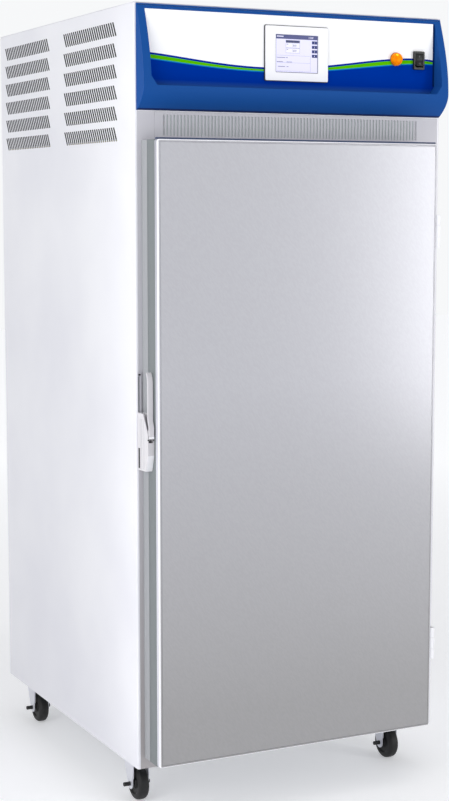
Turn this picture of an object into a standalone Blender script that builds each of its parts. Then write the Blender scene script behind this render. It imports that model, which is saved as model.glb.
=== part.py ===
"""Floor-standing cooled incubator cabinet: one insulated chamber behind a hinged door, a
refrigeration bay above it, a moulded control hood and four swivel casters.

Units are metres, +Z is up, the door faces -Y. The origin is on the floor, under the middle
of the whole object.
"""
import math

import bmesh
import bpy
from mathutils import Quaternion, Vector

# Running fits and sheet metal
GAP = 0.0003              # between two pieces that touch
SHEET = 0.0012            # painted steel sheet
LINER_T = 0.0010          # stainless steel sheet

# Cabinet
BODY_W = 0.794
BODY_D = 0.885
BODY_H = 1.720
FLOOR_GAP = 0.116         # clear height under the cabinet
WALL = 0.085              # insulated wall, skin and liner included
CORNER_RETURN = 0.007     # side panel folded round the front corner
CORNER_R = 0.005
BASE_PAN_H = 0.022
TOP_LIP = 0.012

# Machine bay, measured down from the top of the cabinet
BAY_H = 0.290
DOOR_TOP_GAP = 0.007
DECK_DROP = 0.003         # deck below the bay's lower edge

# Door
DOOR_LEFT_MARGIN = 0.0164
DOOR_RIGHT_MARGIN = 0.062
DOOR_BOTTOM_MARGIN = 0.026
DOOR_T = 0.088
DOOR_OVERLAP = 0.070      # door past the chamber mouth, above and below
SKIN_RETURN = 0.016
EDGE_BAND = 0.041
EDGE_BAND_W = 0.012
GASKET_T = 0.0095
GASKET_W = 0.018
PLUG_RISE = 0.006         # raised middle of the inner door panel
PLUG_INSET = 0.045

# Door hinges
HINGE_AXIS_X = 0.008      # pin to the door's side face
HINGE_AXIS_Y = 0.009      # pin to the door's front face
HINGE_H = 0.076
HINGE_END_MARGIN = 0.165  # hinge to the end of the door
HINGE_R = 0.007
HINGE_PIN_R = 0.0030
HINGE_LEAF_T = 0.0020
HINGE_LEAF_D = 0.034
HINGE_KNUCKLE_H = 0.024   # each of the two outer knuckles
HINGE_ARM_T = 0.006
HINGE_PLATE_T = 0.003
HINGE_PLATE_W = 0.046

# Latch on the door's left side
LATCH_OUT = 0.0155        # width of the case, outwards from the door's side
LATCH_LOW = 0.695         # above the cabinet's underside
LATCH_H = 0.128
LATCH_PIVOT_DROP = 0.053  # below the top of the case
LATCH_BACK = 0.008        # in front of the stile plane, as the next three
LATCH_FRONT = 0.064
LATCH_PIVOT_OUT = 0.046
LEVER_FRONT = 0.070
LATCH_CHEEK = 0.0022
LATCH_SOLE_D = 0.045      # flat part of the case's underside
LATCH_SOLE_RISE = 0.001
LATCH_CHIN_H = 0.038      # slanted part below the front
LATCH_BROW_H = 0.045      # slanted part above the front
LATCH_BROW_D = 0.026
LATCH_WEB = 0.010         # left behind the lever's slot
LATCH_PIN_R = 0.0025
LEVER_RISE = 0.089        # tip above the top of the case
LEVER_T = 0.006
LEVER_BOSS_R = 0.008
LEVER_HEEL_Z = 0.010      # above the pivot, as the next
LEVER_GRIP_Z = 0.035
LEVER_BEND_H = 0.030      # bent tip of the grip
LEVER_BEND_D = 0.008
STRIKE_T = 0.003
STRIKE_W = 0.0095
STRIKE_CLEAR = 0.0034     # strike to the door's side
STRIKE_RISE = 0.004       # above the lower end of the latch

# Louvres in the side panels: a parallelogram window for each group of slots
LOUVRE_ROWS = 6
LOUVRE_PITCH = 0.04635
LOUVRE_TOP = 0.0336       # below the top of the cabinet
LOUVRE_H = 0.0315
LOUVRE_L = 0.313
LOUVRE_LEAN = 0.0175      # lower edge further forward
LOUVRE_FRONT = 0.112      # first column behind the front
LOUVRE_STEP = 0.4245      # from one column to the next
LOUVRE_COLUMNS = 2

# Air grille above the door
GRILLE_T = 0.0012
GRILLE_LEFT = 0.0485
GRILLE_RIGHT = 0.046
GRILLE_LOW = 0.290        # below the top of the cabinet
GRILLE_UNDER_HOOD = 0.002
SLOT_ABOVE = 0.004        # from the grille's lower edge
SLOT_BELOW = 0.007        # from the grille's upper edge
SLOT_MARGIN = 0.0225      # grille edge to its first slot
SLOT_PITCH = 0.0084
SLOT_W = 0.0042

# Control hood
HOOD_SIDE = 0.005         # inside the cabinet's width, each side
HOOD_TOP = 0.003          # below the top of the cabinet
HOOD_H = 0.229
HOOD_BULGE = 0.0435
HOOD_LIP = 0.003
HOOD_SHOULDER = 0.052     # height of the bulge above the hood's lower edge
HOOD_WALL = 0.003
HOOD_STEPS = 14           # facets of each of the two curves in the hood's side view
RECESS_FLOOR = 0.0073
RECESS_CHEEK = 0.018
RECESS_TOP_RIM = 0.009
RECESS_CHAMFER_X = 0.014
RECESS_CHAMFER_Z = 0.020
GRAPHIC_T = 0.0007

# Controls. Drops are below the middle of the recess, and sides are in from the cabinet's right side
SCREEN_X = 0.0005         # right of the middle
SCREEN_DROP = 0.002
BEZEL_W = 0.165
BEZEL_H = 0.125
BEZEL_T = 0.005
SCREEN_W = 0.109
SCREEN_H = 0.084
SCREEN_SINK = 0.0015      # glass below the bezel's face
SCREEN_BACK_W = 0.140
SCREEN_BACK_H = 0.104
SCREEN_BACK_D = 0.022
LAMP_SIDE = 0.1305
LAMP_DROP = 0.0037
LAMP_R = 0.0156
LAMP_OUT = 0.017
LAMP_BASE_H = 0.004       # upright edge under the dome
LAMP_STEM_R = 0.011
LAMP_STEM_L = 0.024
SWITCH_SIDE = 0.0687
SWITCH_DROP = 0.0047
SWITCH_W = 0.0295
SWITCH_H = 0.0425
SWITCH_T = 0.006
SWITCH_BODY_W = 0.026
SWITCH_BODY_H = 0.035
SWITCH_BODY_D = 0.016
SWITCH_WELL_FLOOR = 0.006
ROCKER_W = 0.020
ROCKER_HALF_H = 0.014
ROCKER_END_CLEAR = 0.0015
ROCKER_TILT = 10.0        # degrees either side of level, lower end out at rest
ROCKER_DEPTH = 0.011
ROCKER_OUT = 0.003        # pivot to the rocker's middle, and to the switch's face
ROCKER_BACK = 0.55        # height of the rocker's back, as a share of its front
ROCKER_PIN_R = 0.0020

# Chamber fittings
PLENUM_D = 0.085
BAFFLE_END = 0.040        # clear of the chamber floor and ceiling
BAFFLE_SIDE = 0.0015
BAFFLE_SLOTS = 8
BAFFLE_SLOT_PITCH = 0.060
BAFFLE_SLOT_W = 0.044
BAFFLE_SLOT_H = 0.012
BAFFLE_SLOT_RISE = 0.030  # above the baffle's lower edge
RACK_BAR = 0.008
RACK_ABOVE = 0.032        # uprights past the top shelf
RACK_FRONT = 0.060        # front upright behind the chamber mouth
RUNNER_W = 0.014
SHELF_COUNT = 3
SHELF_T = 0.006
SHELF_RIM = 0.008
SHELF_SLOTS = 12
SHELF_BAR = 0.006
FAN_R = 0.080
FAN_DROP = 0.190          # circulation fan below the chamber ceiling
FAN_HUB_R = 0.022
FAN_W = 0.018
FAN_SHAFT_R = 0.004
FAN_STANDOFF = 0.002      # motor to hub
FAN_TIP_CLEAR = 0.006     # blade tip to the mouth round it
MOTOR_R = 0.036
MOTOR_D = 0.040
BLADES = 5
BLADE_T = 0.0025
BLADE_ANGLE = 32.0
BLADE_ROOT = 0.004        # blade inside the hub
PROBE_R = 0.003
PROBE_L = 0.070
PROBE_FLANGE_R = 0.009
PROBE_FLANGE_T = 0.006

# Refrigeration
COIL_TUBE_R = 0.005
COIL_PASSES = 6
CONDENSER_W = 0.300
CONDENSER_PITCH = 0.032
CONDENSER_SIDE = 0.227    # middle of the condenser, in from the left side
CONDENSER_Y = 0.110       # behind the front
EVAPORATOR_W = 0.420
EVAPORATOR_PITCH = 0.040
EVAPORATOR_DROP = 0.420   # top pass below the chamber ceiling
HEATER_W = 0.300
HEATER_TUBE_R = 0.004
HEATER_DROP = 0.740
SHROUD_SIZE = 0.210
SHROUD_D = 0.024
COOLING_FAN_R = 0.085
COOLING_MOTOR_R = 0.0216
STRUT = 0.006             # half height of the bar that carries the cooling fan's motor
STRUT_BEHIND = 0.010      # bar past the shroud's rear face
SHROUD_Y = 0.170
COMPRESSOR_R = 0.075
COMPRESSOR_H = 0.165
COMPRESSOR_DOME_H = 0.045
COMPRESSOR_TAPER_H = 0.020
COMPRESSOR_TAPER_R = 0.060
COMPRESSOR_SIDE = 0.207   # in from the right side
COMPRESSOR_Y = 0.560
COMPRESSOR_FOOT = 0.190
COMPRESSOR_FOOT_T = 0.004
GLAND_R = 0.011
GLAND_NECK_R = 0.0077
GLAND_BORE_R = 0.0039
GLAND_HEX_L = 0.0084      # widest part, outwards from the rear sheet
GLAND_OUT = 0.014
GLAND_IN = 0.012
GLAND_SIDE = 0.097        # in from the right side
GLAND_Z = 0.230           # below the top of the cabinet
VENT_SLOTS = 14
VENT_PITCH = 0.030
VENT_W = 0.008
VENT_H = 0.110
VENT_TOP = 0.070          # below the top of the cabinet

# Casters
WHEEL_R = 0.040
WHEEL_W = 0.027
WHEEL_SHOULDER = 0.009
CASTER_INSET_X = 0.053    # wheel centre to the cabinet's side
CASTER_FRONT = 0.147      # swivel axis behind the front
CASTER_BACK = 0.063       # swivel axis in front of the back
TRAIL = 0.026             # wheel centre in front of the swivel axis
AXLE_R = 0.005
AXLE_CLEAR = 0.0004
AXLE_LEFT = 0.016         # axle past the left leg
AXLE_RIGHT = 0.006
LEG_T = 0.003
LEG_CLEAR = 0.0055        # wheel side to leg
LEG_R = 0.013             # rounded lower end of a leg
LEG_FLARE = 0.001         # front edge of a leg, wider at its top
LEG_TOP_REAR = 0.040      # rear edge of a leg's top, behind the axle
PLATE_W = 0.074
PLATE_L = 0.092
PLATE_T = 0.003
RACE_R = 0.024
RACE_H = 0.008
KINGPIN_R = 0.006
KINGPIN_HEAD_R = 0.010
KINGPIN_HEAD_H = 0.004
FORK_T = 0.0035

# Faces of the cabinet in this frame
LEFT = -BODY_W / 2
RIGHT = BODY_W / 2
FRONT = DOOR_T - (DOOR_T + BODY_D + GLAND_OUT) / 2
BACK = FRONT + BODY_D
BOTTOM = FLOOR_GAP
TOP = BOTTOM + BODY_H

# Room inside the outer sheets, behind the rounded corners
INNER_X0 = LEFT + SHEET + GAP
INNER_X1 = RIGHT - SHEET - GAP
INNER_Y0 = FRONT + CORNER_R + GAP
INNER_Y1 = BACK - SHEET - GAP
ROOF = TOP - SHEET - GAP

DOOR_X0 = LEFT + DOOR_LEFT_MARGIN
DOOR_X1 = RIGHT - DOOR_RIGHT_MARGIN
DOOR_Z0 = BOTTOM + DOOR_BOTTOM_MARGIN
DOOR_Z1 = TOP - BAY_H - DOOR_TOP_GAP
DOOR_Y0 = FRONT - DOOR_T

CHAMBER_X0 = LEFT + WALL
CHAMBER_X1 = RIGHT - WALL
CHAMBER_Y1 = BACK - WALL
CHAMBER_Z0 = DOOR_Z0 + DOOR_OVERLAP
CHAMBER_Z1 = DOOR_Z1 - DOOR_OVERLAP

BAY_Z = TOP - BAY_H
DECK_Z = BAY_Z - DECK_DROP
HOOD_Z1 = TOP - HOOD_TOP
HOOD_Z0 = HOOD_Z1 - HOOD_H
RECESS_Z0 = HOOD_Z0 + HOOD_SHOULDER
RECESS_Z1 = HOOD_Z1 - RECESS_TOP_RIM
RECESS_MIDDLE = (RECESS_Z0 + RECESS_Z1) / 2
GRILLE_Z0 = TOP - GRILLE_LOW
GRILLE_Z1 = HOOD_Z0 - GRILLE_UNDER_HOOD
GRAPHIC_Y = FRONT - GAP - RECESS_FLOOR - GAP - GRAPHIC_T
BAFFLE_Y = CHAMBER_Y1 - LINER_T - PLENUM_D

SCREEN_Z = RECESS_MIDDLE - SCREEN_DROP
LAMP_X = RIGHT - LAMP_SIDE
LAMP_Z = RECESS_MIDDLE - LAMP_DROP
SWITCH_X = RIGHT - SWITCH_SIDE
SWITCH_Z = RECESS_MIDDLE - SWITCH_DROP
GLAND_X = RIGHT - GLAND_SIDE
COMPRESSOR_X = RIGHT - COMPRESSOR_SIDE
CONDENSER_X = LEFT + CONDENSER_SIDE
LATCH_Z0 = BOTTOM + LATCH_LOW
LATCH_Z1 = LATCH_Z0 + LATCH_H
LEVER_TIP_Z = LATCH_Z1 + LEVER_RISE

DOOR_AXIS = Vector((DOOR_X1 + HINGE_AXIS_X, DOOR_Y0 + HINGE_AXIS_Y, BOTTOM))
LEVER_AXIS = Vector((DOOR_X0 - LATCH_OUT / 2, FRONT - LATCH_PIVOT_OUT, LATCH_Z1 - LATCH_PIVOT_DROP))
SWITCH_FACE_Y = GRAPHIC_Y - GAP - SWITCH_T
ROCKER_AXIS = Vector((SWITCH_X, SWITCH_FACE_Y + ROCKER_OUT, SWITCH_Z))

ALONG = {
    "X": (math.pi / 2, 0, math.pi / 2),   # outline in Y and Z
    "Y": (math.pi / 2, 0, 0),             # outline in X and Z
    "Z": (0, 0, 0),                       # outline in X and Y
}


def clear_scene():
    for thing in list(bpy.data.objects):
        bpy.data.objects.remove(thing, do_unlink=True)
    for name in ("incubator", "cutters"):
        group = bpy.data.collections.new(name)
        bpy.context.scene.collection.children.link(group)


def finish(name, colour, roughness, metallic=0.0):
    """The named paint, plastic or metal, made once."""
    made = bpy.data.materials.get(name)
    if made:
        return made
    made = bpy.data.materials.new(name)
    made.use_nodes = True
    shader = made.node_tree.nodes["Principled BSDF"]
    shader.inputs["Base Color"].default_value = (*colour, 1)
    shader.inputs["Roughness"].default_value = roughness
    shader.inputs["Metallic"].default_value = metallic
    return made


def white_paint():
    return finish("white_paint", (0.82, 0.82, 0.86), 0.35)


def grey_paint():
    return finish("grey_paint", (0.50, 0.50, 0.54), 0.45, 0.2)


def steel():
    return finish("stainless_steel", (0.62, 0.62, 0.60), 0.28, 1.0)


def zinc():
    return finish("zinc_plate", (0.70, 0.70, 0.72), 0.35, 0.9)


def copper():
    return finish("copper_tube", (0.72, 0.36, 0.20), 0.35, 1.0)


def black_plastic():
    return finish("black_plastic", (0.02, 0.02, 0.02), 0.4)


def rubber():
    return finish("black_rubber", (0.015, 0.015, 0.015), 0.6)


def grey_rubber():
    return finish("grey_rubber", (0.42, 0.43, 0.45), 0.6)


def foam():
    return finish("insulation_foam", (0.80, 0.72, 0.45), 0.9)


def blue_plastic():
    return finish("blue_hood", (0.02, 0.10, 0.32), 0.35)


def add(name, mesh, material, group="incubator"):
    thing = bpy.data.objects.new(name, mesh)
    bpy.data.collections[group].objects.link(thing)
    if material:
        mesh.materials.clear()
        mesh.materials.append(material)
    if group == "cutters":
        thing.hide_render = True
        thing.display_type = "WIRE"
    return thing


def box(name, low, high, material=None, group="incubator"):
    low, high = Vector(low), Vector(high)
    shape = bmesh.new()
    bmesh.ops.create_cube(shape, size=1)
    bmesh.ops.scale(shape, vec=high - low, verts=shape.verts)
    mesh = bpy.data.meshes.new(name)
    shape.to_mesh(mesh)
    shape.free()
    thing = add(name, mesh, material, group)
    thing.location = (low + high) / 2
    return thing


def prism(name, axis, outline, low, high, material=None, holes=(), group="incubator"):
    """A flat outline with holes, as thick as from low to high along the axis."""
    curve = bpy.data.curves.new(name, "CURVE")
    curve.dimensions = "2D"
    curve.fill_mode = "BOTH"
    curve.extrude = (high - low) / 2
    for loop in [outline, *holes]:
        line = curve.splines.new("POLY")
        line.points.add(len(loop) - 1)
        for point, (u, v) in zip(line.points, loop):
            point.co = (u, v, 0, 1)
        line.use_cyclic_u = True
    guide = bpy.data.objects.new(name + "_outline", curve)
    bpy.context.scene.collection.objects.link(guide)
    bpy.context.view_layer.update()
    mesh = bpy.data.meshes.new_from_object(guide.evaluated_get(bpy.context.evaluated_depsgraph_get()))
    bpy.data.objects.remove(guide)
    shape = bmesh.new()
    shape.from_mesh(mesh)
    bmesh.ops.remove_doubles(shape, verts=shape.verts, dist=0.00001)
    bmesh.ops.recalc_face_normals(shape, faces=shape.faces)
    shape.to_mesh(mesh)
    shape.free()
    mesh.name = name
    thing = add(name, mesh, material, group)
    thing.rotation_euler = ALONG[axis]
    thing.location["XYZ".index(axis)] = (low + high) / 2
    return thing


def turned(name, centre, axis, profile, material=None, steps=16, ring=False, group="incubator"):
    """A profile of (radius, height) from top to bottom, turned about the axis at centre."""
    count = len(profile)
    edges = [(i, i + 1) for i in range(count - 1)]
    if ring:
        edges.append((count - 1, 0))
    mesh = bpy.data.meshes.new(name)
    mesh.from_pydata([(radius, 0, height) for radius, height in profile], edges, [])
    thing = add(name, mesh, material, group)
    spin = thing.modifiers.new("turn", "SCREW")
    spin.steps = steps
    spin.render_steps = steps
    spin.use_merge_vertices = True
    spin.merge_threshold = 0.00001
    spin.use_smooth_shade = False
    thing.rotation_euler = Vector(axis).to_track_quat("Z", "Y").to_euler()
    thing.location = centre
    return thing


def rod(name, start, end, radius, material=None, steps=16, group="incubator"):
    start, end = Vector(start), Vector(end)
    length = (end - start).length
    profile = [(0, length), (radius, length), (radius, 0), (0, 0)]
    return turned(name, start, end - start, profile, material, steps, group=group)


def tube_path(name, points, radius, material):
    """A round tube through the points, with closed ends."""
    curve = bpy.data.curves.new(name, "CURVE")
    curve.dimensions = "3D"
    curve.bevel_depth = radius
    curve.bevel_resolution = 1
    curve.use_fill_caps = True
    line = curve.splines.new("POLY")
    line.points.add(len(points) - 1)
    for point, place in zip(line.points, points):
        point.co = (*place, 1)
    guide = bpy.data.objects.new(name + "_route", curve)
    bpy.context.scene.collection.objects.link(guide)
    bpy.context.view_layer.update()
    mesh = bpy.data.meshes.new_from_object(guide.evaluated_get(bpy.context.evaluated_depsgraph_get()))
    bpy.data.objects.remove(guide)
    shape = bmesh.new()
    shape.from_mesh(mesh)
    bmesh.ops.remove_doubles(shape, verts=shape.verts, dist=0.00001)
    bmesh.ops.recalc_face_normals(shape, faces=shape.faces)
    shape.to_mesh(mesh)
    shape.free()
    return add(name, mesh, material)


def pan(name, low, high, open_side, wall, material):
    """A folded tray: a box that is open on one side, with an even wall."""
    thing = box(name, low, high, material)
    size = Vector(high) - Vector(low)
    shape = bmesh.new()
    shape.from_mesh(thing.data)
    shape.faces.ensure_lookup_table()
    way = Vector(open_side)
    mouth = max(shape.faces, key=lambda face: face.normal.dot(way))
    bmesh.ops.inset_region(shape, faces=[mouth], thickness=wall, depth=0)
    grown = bmesh.ops.extrude_face_region(shape, geom=[mouth])
    floor = [v for v in grown["geom"] if isinstance(v, bmesh.types.BMVert)]
    depth = sum(abs(way[i]) * size[i] for i in range(3)) - wall
    bmesh.ops.translate(shape, vec=-way * depth, verts=floor)
    bmesh.ops.delete(shape, geom=[mouth], context="FACES_ONLY")
    bmesh.ops.recalc_face_normals(shape, faces=shape.faces)
    shape.to_mesh(thing.data)
    shape.free()
    return thing


def combine(thing, tool, operation):
    change = thing.modifiers.new(tool.name, "BOOLEAN")
    change.operation = operation
    change.solver = "EXACT"
    change.object = tool
    return thing


def cut(thing, *tools):
    for tool in tools:
        combine(thing, tool, "DIFFERENCE")
    return thing


def join(thing, *tools):
    for tool in tools:
        combine(thing, tool, "UNION")
    return thing


def tool_box(name, low, high):
    return box(name, low, high, group="cutters")


def tool_rod(name, start, end, radius, steps=16):
    return rod(name, start, end, radius, steps=steps, group="cutters")


def rectangle(u0, v0, u1, v1):
    return [(u0, v0), (u1, v0), (u1, v1), (u0, v1)]


def arc(centre_u, centre_v, radius, start, end, steps):
    """Points round a centre, from one angle to another in degrees."""
    return [
        (centre_u + radius * math.cos(math.radians(start + (end - start) * i / steps)),
         centre_v + radius * math.sin(math.radians(start + (end - start) * i / steps)))
        for i in range(steps + 1)
    ]


def pivot(name, place, things):
    """An empty on a joint's axis that carries the moving pieces."""
    empty = bpy.data.objects.new(name, None)
    bpy.data.collections["incubator"].objects.link(empty)
    empty.location = place
    bpy.context.view_layer.update()
    for thing in things:
        thing.parent = empty
        thing.matrix_parent_inverse = empty.matrix_world.inverted()
    return empty


def louvre_windows(name, x0, x1):
    """Slanted cutters through a side sheet, one for each group of louvre slots."""
    windows = []
    for row in range(LOUVRE_ROWS):
        high = TOP - LOUVRE_TOP - row * LOUVRE_PITCH
        low = high - LOUVRE_H
        for column in range(LOUVRE_COLUMNS):
            start = FRONT + LOUVRE_FRONT + column * LOUVRE_STEP
            window = [(start, high), (start + LOUVRE_L, high),
                      (start + LOUVRE_L - LOUVRE_LEAN, low), (start - LOUVRE_LEAN, low)]
            windows.append(prism(f"{name}_window_{row}_{column}", "X", window, x0, x1, group="cutters"))
    return windows


def side_panel(name, outer, inward):
    """A full-depth side sheet that is folded round the front corner."""
    inner = outer + inward * SHEET
    lip = outer + inward * CORNER_RETURN
    centre = outer + inward * CORNER_R
    section = [(inner, BACK), (outer, BACK)]
    section += [(centre + inward * u, FRONT + CORNER_R + v) for u, v in arc(0, 0, CORNER_R, 180, 270, 4)]
    section += [(lip, FRONT), (lip, FRONT + SHEET)]
    section += [(centre + inward * u, FRONT + CORNER_R + v)
                for u, v in arc(0, 0, CORNER_R - SHEET, 270, 180, 4)]
    sheet = prism(name, "Z", section, BOTTOM, ROOF, white_paint())
    x0, x1 = sorted((outer - inward * SHEET, inner + inward * SHEET))
    return cut(sheet, *louvre_windows(name, x0, x1))


def top_cover():
    """The roof sheet, with a lip that drops inside the cabinet."""
    low = (LEFT, FRONT, TOP - SHEET)
    cover = box("top_cover", low, (RIGHT, BACK, TOP), white_paint())
    outer = rectangle(INNER_X0, INNER_Y0, INNER_X1, INNER_Y1)
    hole = rectangle(INNER_X0 + SHEET, INNER_Y0 + SHEET, INNER_X1 - SHEET, INNER_Y1 - SHEET)
    lip = prism("top_cover_lip", "Z", outer, TOP - TOP_LIP, TOP - SHEET / 2, holes=[hole], group="cutters")
    return join(cover, lip)


def back_panel():
    """The rear sheet, with upright vents into the machine bay and a hole for the cable gland."""
    vents = []
    first = -(VENT_SLOTS - 1) * VENT_PITCH / 2
    for i in range(VENT_SLOTS):
        x = first + i * VENT_PITCH
        vents.append(rectangle(x - VENT_W / 2, TOP - VENT_TOP - VENT_H, x + VENT_W / 2, TOP - VENT_TOP))
    hole = arc(GLAND_X, TOP - GLAND_Z, GLAND_NECK_R + GAP, 0, 337.5, 15)
    outline = rectangle(INNER_X0, BOTTOM, INNER_X1, ROOF)
    return prism("back_panel", "Y", outline, BACK - SHEET, BACK, white_paint(), [*vents, hole])


def cable_gland():
    """The gland that a mains lead would enter by, on the rear sheet."""
    profile = [(GLAND_BORE_R, GLAND_OUT), (GLAND_NECK_R, GLAND_OUT), (GLAND_R, GLAND_HEX_L), (GLAND_R, GAP),
               (GLAND_NECK_R, GAP), (GLAND_NECK_R, -GLAND_IN), (GLAND_BORE_R, -GLAND_IN)]
    centre = (GLAND_X, BACK, TOP - GLAND_Z)
    return turned("cable_gland", centre, (0, 1, 0), profile, black_plastic(), ring=True)


def base_pan():
    low = (INNER_X0, INNER_Y0, BOTTOM)
    high = (INNER_X1, INNER_Y1, BOTTOM + BASE_PAN_H)
    return pan("base_pan", low, high, (0, 0, 1), 2 * SHEET, grey_paint())


def front_frame():
    """The face frame round the chamber mouth, the air grille and the controls."""
    side = CORNER_RETURN + GAP
    mouth = rectangle(CHAMBER_X0, CHAMBER_Z0, CHAMBER_X1, CHAMBER_Z1)
    air = rectangle(LEFT + GRILLE_LEFT + SLOT_MARGIN, GRILLE_Z0 + SLOT_ABOVE,
                    RIGHT - GRILLE_RIGHT - SLOT_MARGIN, GRILLE_Z1 - SLOT_BELOW)
    controls = rectangle(LEFT + HOOD_SIDE + RECESS_CHEEK, RECESS_Z0 + RECESS_CHAMFER_Z,
                         RIGHT - HOOD_SIDE - RECESS_CHEEK, RECESS_Z1 - HOOD_WALL)
    outline = rectangle(LEFT + side, BOTTOM, RIGHT - side, ROOF)
    return prism("front_frame", "Y", outline, FRONT, FRONT + SHEET, grey_paint(), [mouth, air, controls])


def grille_panel():
    x0, x1 = LEFT + GRILLE_LEFT, RIGHT - GRILLE_RIGHT
    count = int((x1 - x0 - 2 * SLOT_MARGIN - SLOT_W) / SLOT_PITCH + 0.5) + 1
    first = (x0 + x1) / 2 - (count - 1) * SLOT_PITCH / 2
    slots = []
    for i in range(count):
        x = first + i * SLOT_PITCH
        slots.append(rectangle(x - SLOT_W / 2, GRILLE_Z0 + SLOT_ABOVE, x + SLOT_W / 2, GRILLE_Z1 - SLOT_BELOW))
    outline = rectangle(x0, GRILLE_Z0, x1, GRILLE_Z1)
    return prism("grille_panel", "Y", outline, FRONT - GAP - GRILLE_T, FRONT - GAP, grey_paint(), slots)


def cabinet_insulation():
    """Foam that fills the walls between the outer sheets and the chamber liner."""
    rim = 2 * SHEET + GAP
    block = box("cabinet_insulation", (INNER_X0 + rim, INNER_Y0 + rim, BOTTOM + rim),
                (INNER_X1 - rim, INNER_Y1 - rim, DECK_Z - GAP), foam())
    room = LINER_T + GAP
    hollow = tool_box("insulation_hollow",
                      (CHAMBER_X0 - room, FRONT, CHAMBER_Z0 - room),
                      (CHAMBER_X1 + room, CHAMBER_Y1 + room, CHAMBER_Z1 + room))
    return cut(block, hollow)


def chamber_liner():
    low = (CHAMBER_X0 - LINER_T, FRONT + SHEET + GAP, CHAMBER_Z0 - LINER_T)
    high = (CHAMBER_X1 + LINER_T, CHAMBER_Y1, CHAMBER_Z1 + LINER_T)
    return pan("chamber_liner", low, high, (0, -1, 0), LINER_T, steel())


def machine_deck():
    """The sheet over the insulation that carries the refrigeration parts."""
    return box("machine_deck", (INNER_X0, INNER_Y0, DECK_Z), (INNER_X1, INNER_Y1, DECK_Z + SHEET), zinc())


def shelf_heights():
    """Undersides of the shelves, evenly spaced up the chamber."""
    step = (CHAMBER_Z1 - CHAMBER_Z0) / (SHELF_COUNT + 1)
    return [CHAMBER_Z0 + step * (i + 1) for i in range(SHELF_COUNT)]


def shelf_rack():
    """A free-standing welded rack: two ladders with runners, tied across the back."""
    x0, x1 = CHAMBER_X0 + GAP, CHAMBER_X1 - GAP
    y0 = FRONT + RACK_FRONT
    y1 = BAFFLE_Y - RACK_BAR - GAP
    z0 = CHAMBER_Z0 + GAP
    z1 = shelf_heights()[-1] + RACK_ABOVE
    rack = box("shelf_rack", (x0, y0, z0), (x0 + RACK_BAR, y0 + RACK_BAR, z1), steel())
    posts = [(x0, y1), (x1 - RACK_BAR, y0), (x1 - RACK_BAR, y1)]
    pieces = []
    for i, height in enumerate(shelf_heights()):
        top = height - GAP
        for side, x in (("left", x0), ("right", x1 - RUNNER_W)):
            pieces.append(tool_box(f"rack_runner_{side}_{i}", (x, y0 + GAP, top - RACK_BAR),
                                   (x + RUNNER_W, y1 + RACK_BAR - GAP, top)))
    for i, (x, y) in enumerate(posts):
        pieces.append(tool_box(f"rack_post_{i}", (x, y, z0), (x + RACK_BAR, y + RACK_BAR, z1)))
    for i, z in enumerate((z0 + RACK_BAR, z1 - 2 * RACK_BAR)):
        pieces.append(tool_box(f"rack_tie_{i}", (x0 + GAP, y1 + GAP, z),
                               (x1 - GAP, y1 + RACK_BAR - GAP, z + RACK_BAR)))
    return join(rack, *pieces)


def wire_shelf(name, height):
    """One removable grid shelf, which rests on the rack's runners."""
    side = RACK_BAR + 2 * GAP
    x0, x1 = CHAMBER_X0 + side, CHAMBER_X1 - side
    y0 = FRONT + RACK_FRONT + RACK_BAR + GAP
    y1 = BAFFLE_Y - RACK_BAR - 2 * GAP
    pitch = (x1 - x0 - 2 * SHELF_RIM + SHELF_BAR) / SHELF_SLOTS
    middle = (y0 + y1) / 2
    slots = []
    for i in range(SHELF_SLOTS):
        u = x0 + SHELF_RIM + i * pitch
        slots.append(rectangle(u, y0 + SHELF_RIM, u + pitch - SHELF_BAR, middle - SHELF_BAR / 2))
        slots.append(rectangle(u, middle + SHELF_BAR / 2, u + pitch - SHELF_BAR, y1 - SHELF_RIM))
    return prism(name, "Z", rectangle(x0, y0, x1, y1), height, height + SHELF_T, steel(), slots)


def baffle_panel():
    """The air duct cover at the back of the chamber, with a fan mouth and a row of return slots."""
    low = (CHAMBER_X0 + BAFFLE_SIDE, BAFFLE_Y, CHAMBER_Z0 + BAFFLE_END)
    high = (CHAMBER_X1 - BAFFLE_SIDE, CHAMBER_Y1 - LINER_T - GAP, CHAMBER_Z1 - BAFFLE_END)
    cover = pan("baffle_panel", low, high, (0, 1, 0), LINER_T, steel())
    centre = Vector((0, BAFFLE_Y, CHAMBER_Z1 - FAN_DROP))
    reach = Vector((0, 4 * LINER_T, 0))
    mouth_r = FAN_R + FAN_TIP_CLEAR
    cut(cover, tool_rod("baffle_fan_mouth", centre - reach, centre + reach, mouth_r, steps=32))
    half = Vector((BAFFLE_SLOT_W / 2, 0, BAFFLE_SLOT_H / 2))
    z = CHAMBER_Z0 + BAFFLE_END + BAFFLE_SLOT_RISE + half.z
    for i in range(BAFFLE_SLOTS):
        middle = Vector(((i - (BAFFLE_SLOTS - 1) / 2) * BAFFLE_SLOT_PITCH, BAFFLE_Y, z))
        cut(cover, tool_box(f"baffle_slot_{i}", middle - half - reach, middle + half + reach))
    return cover


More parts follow.
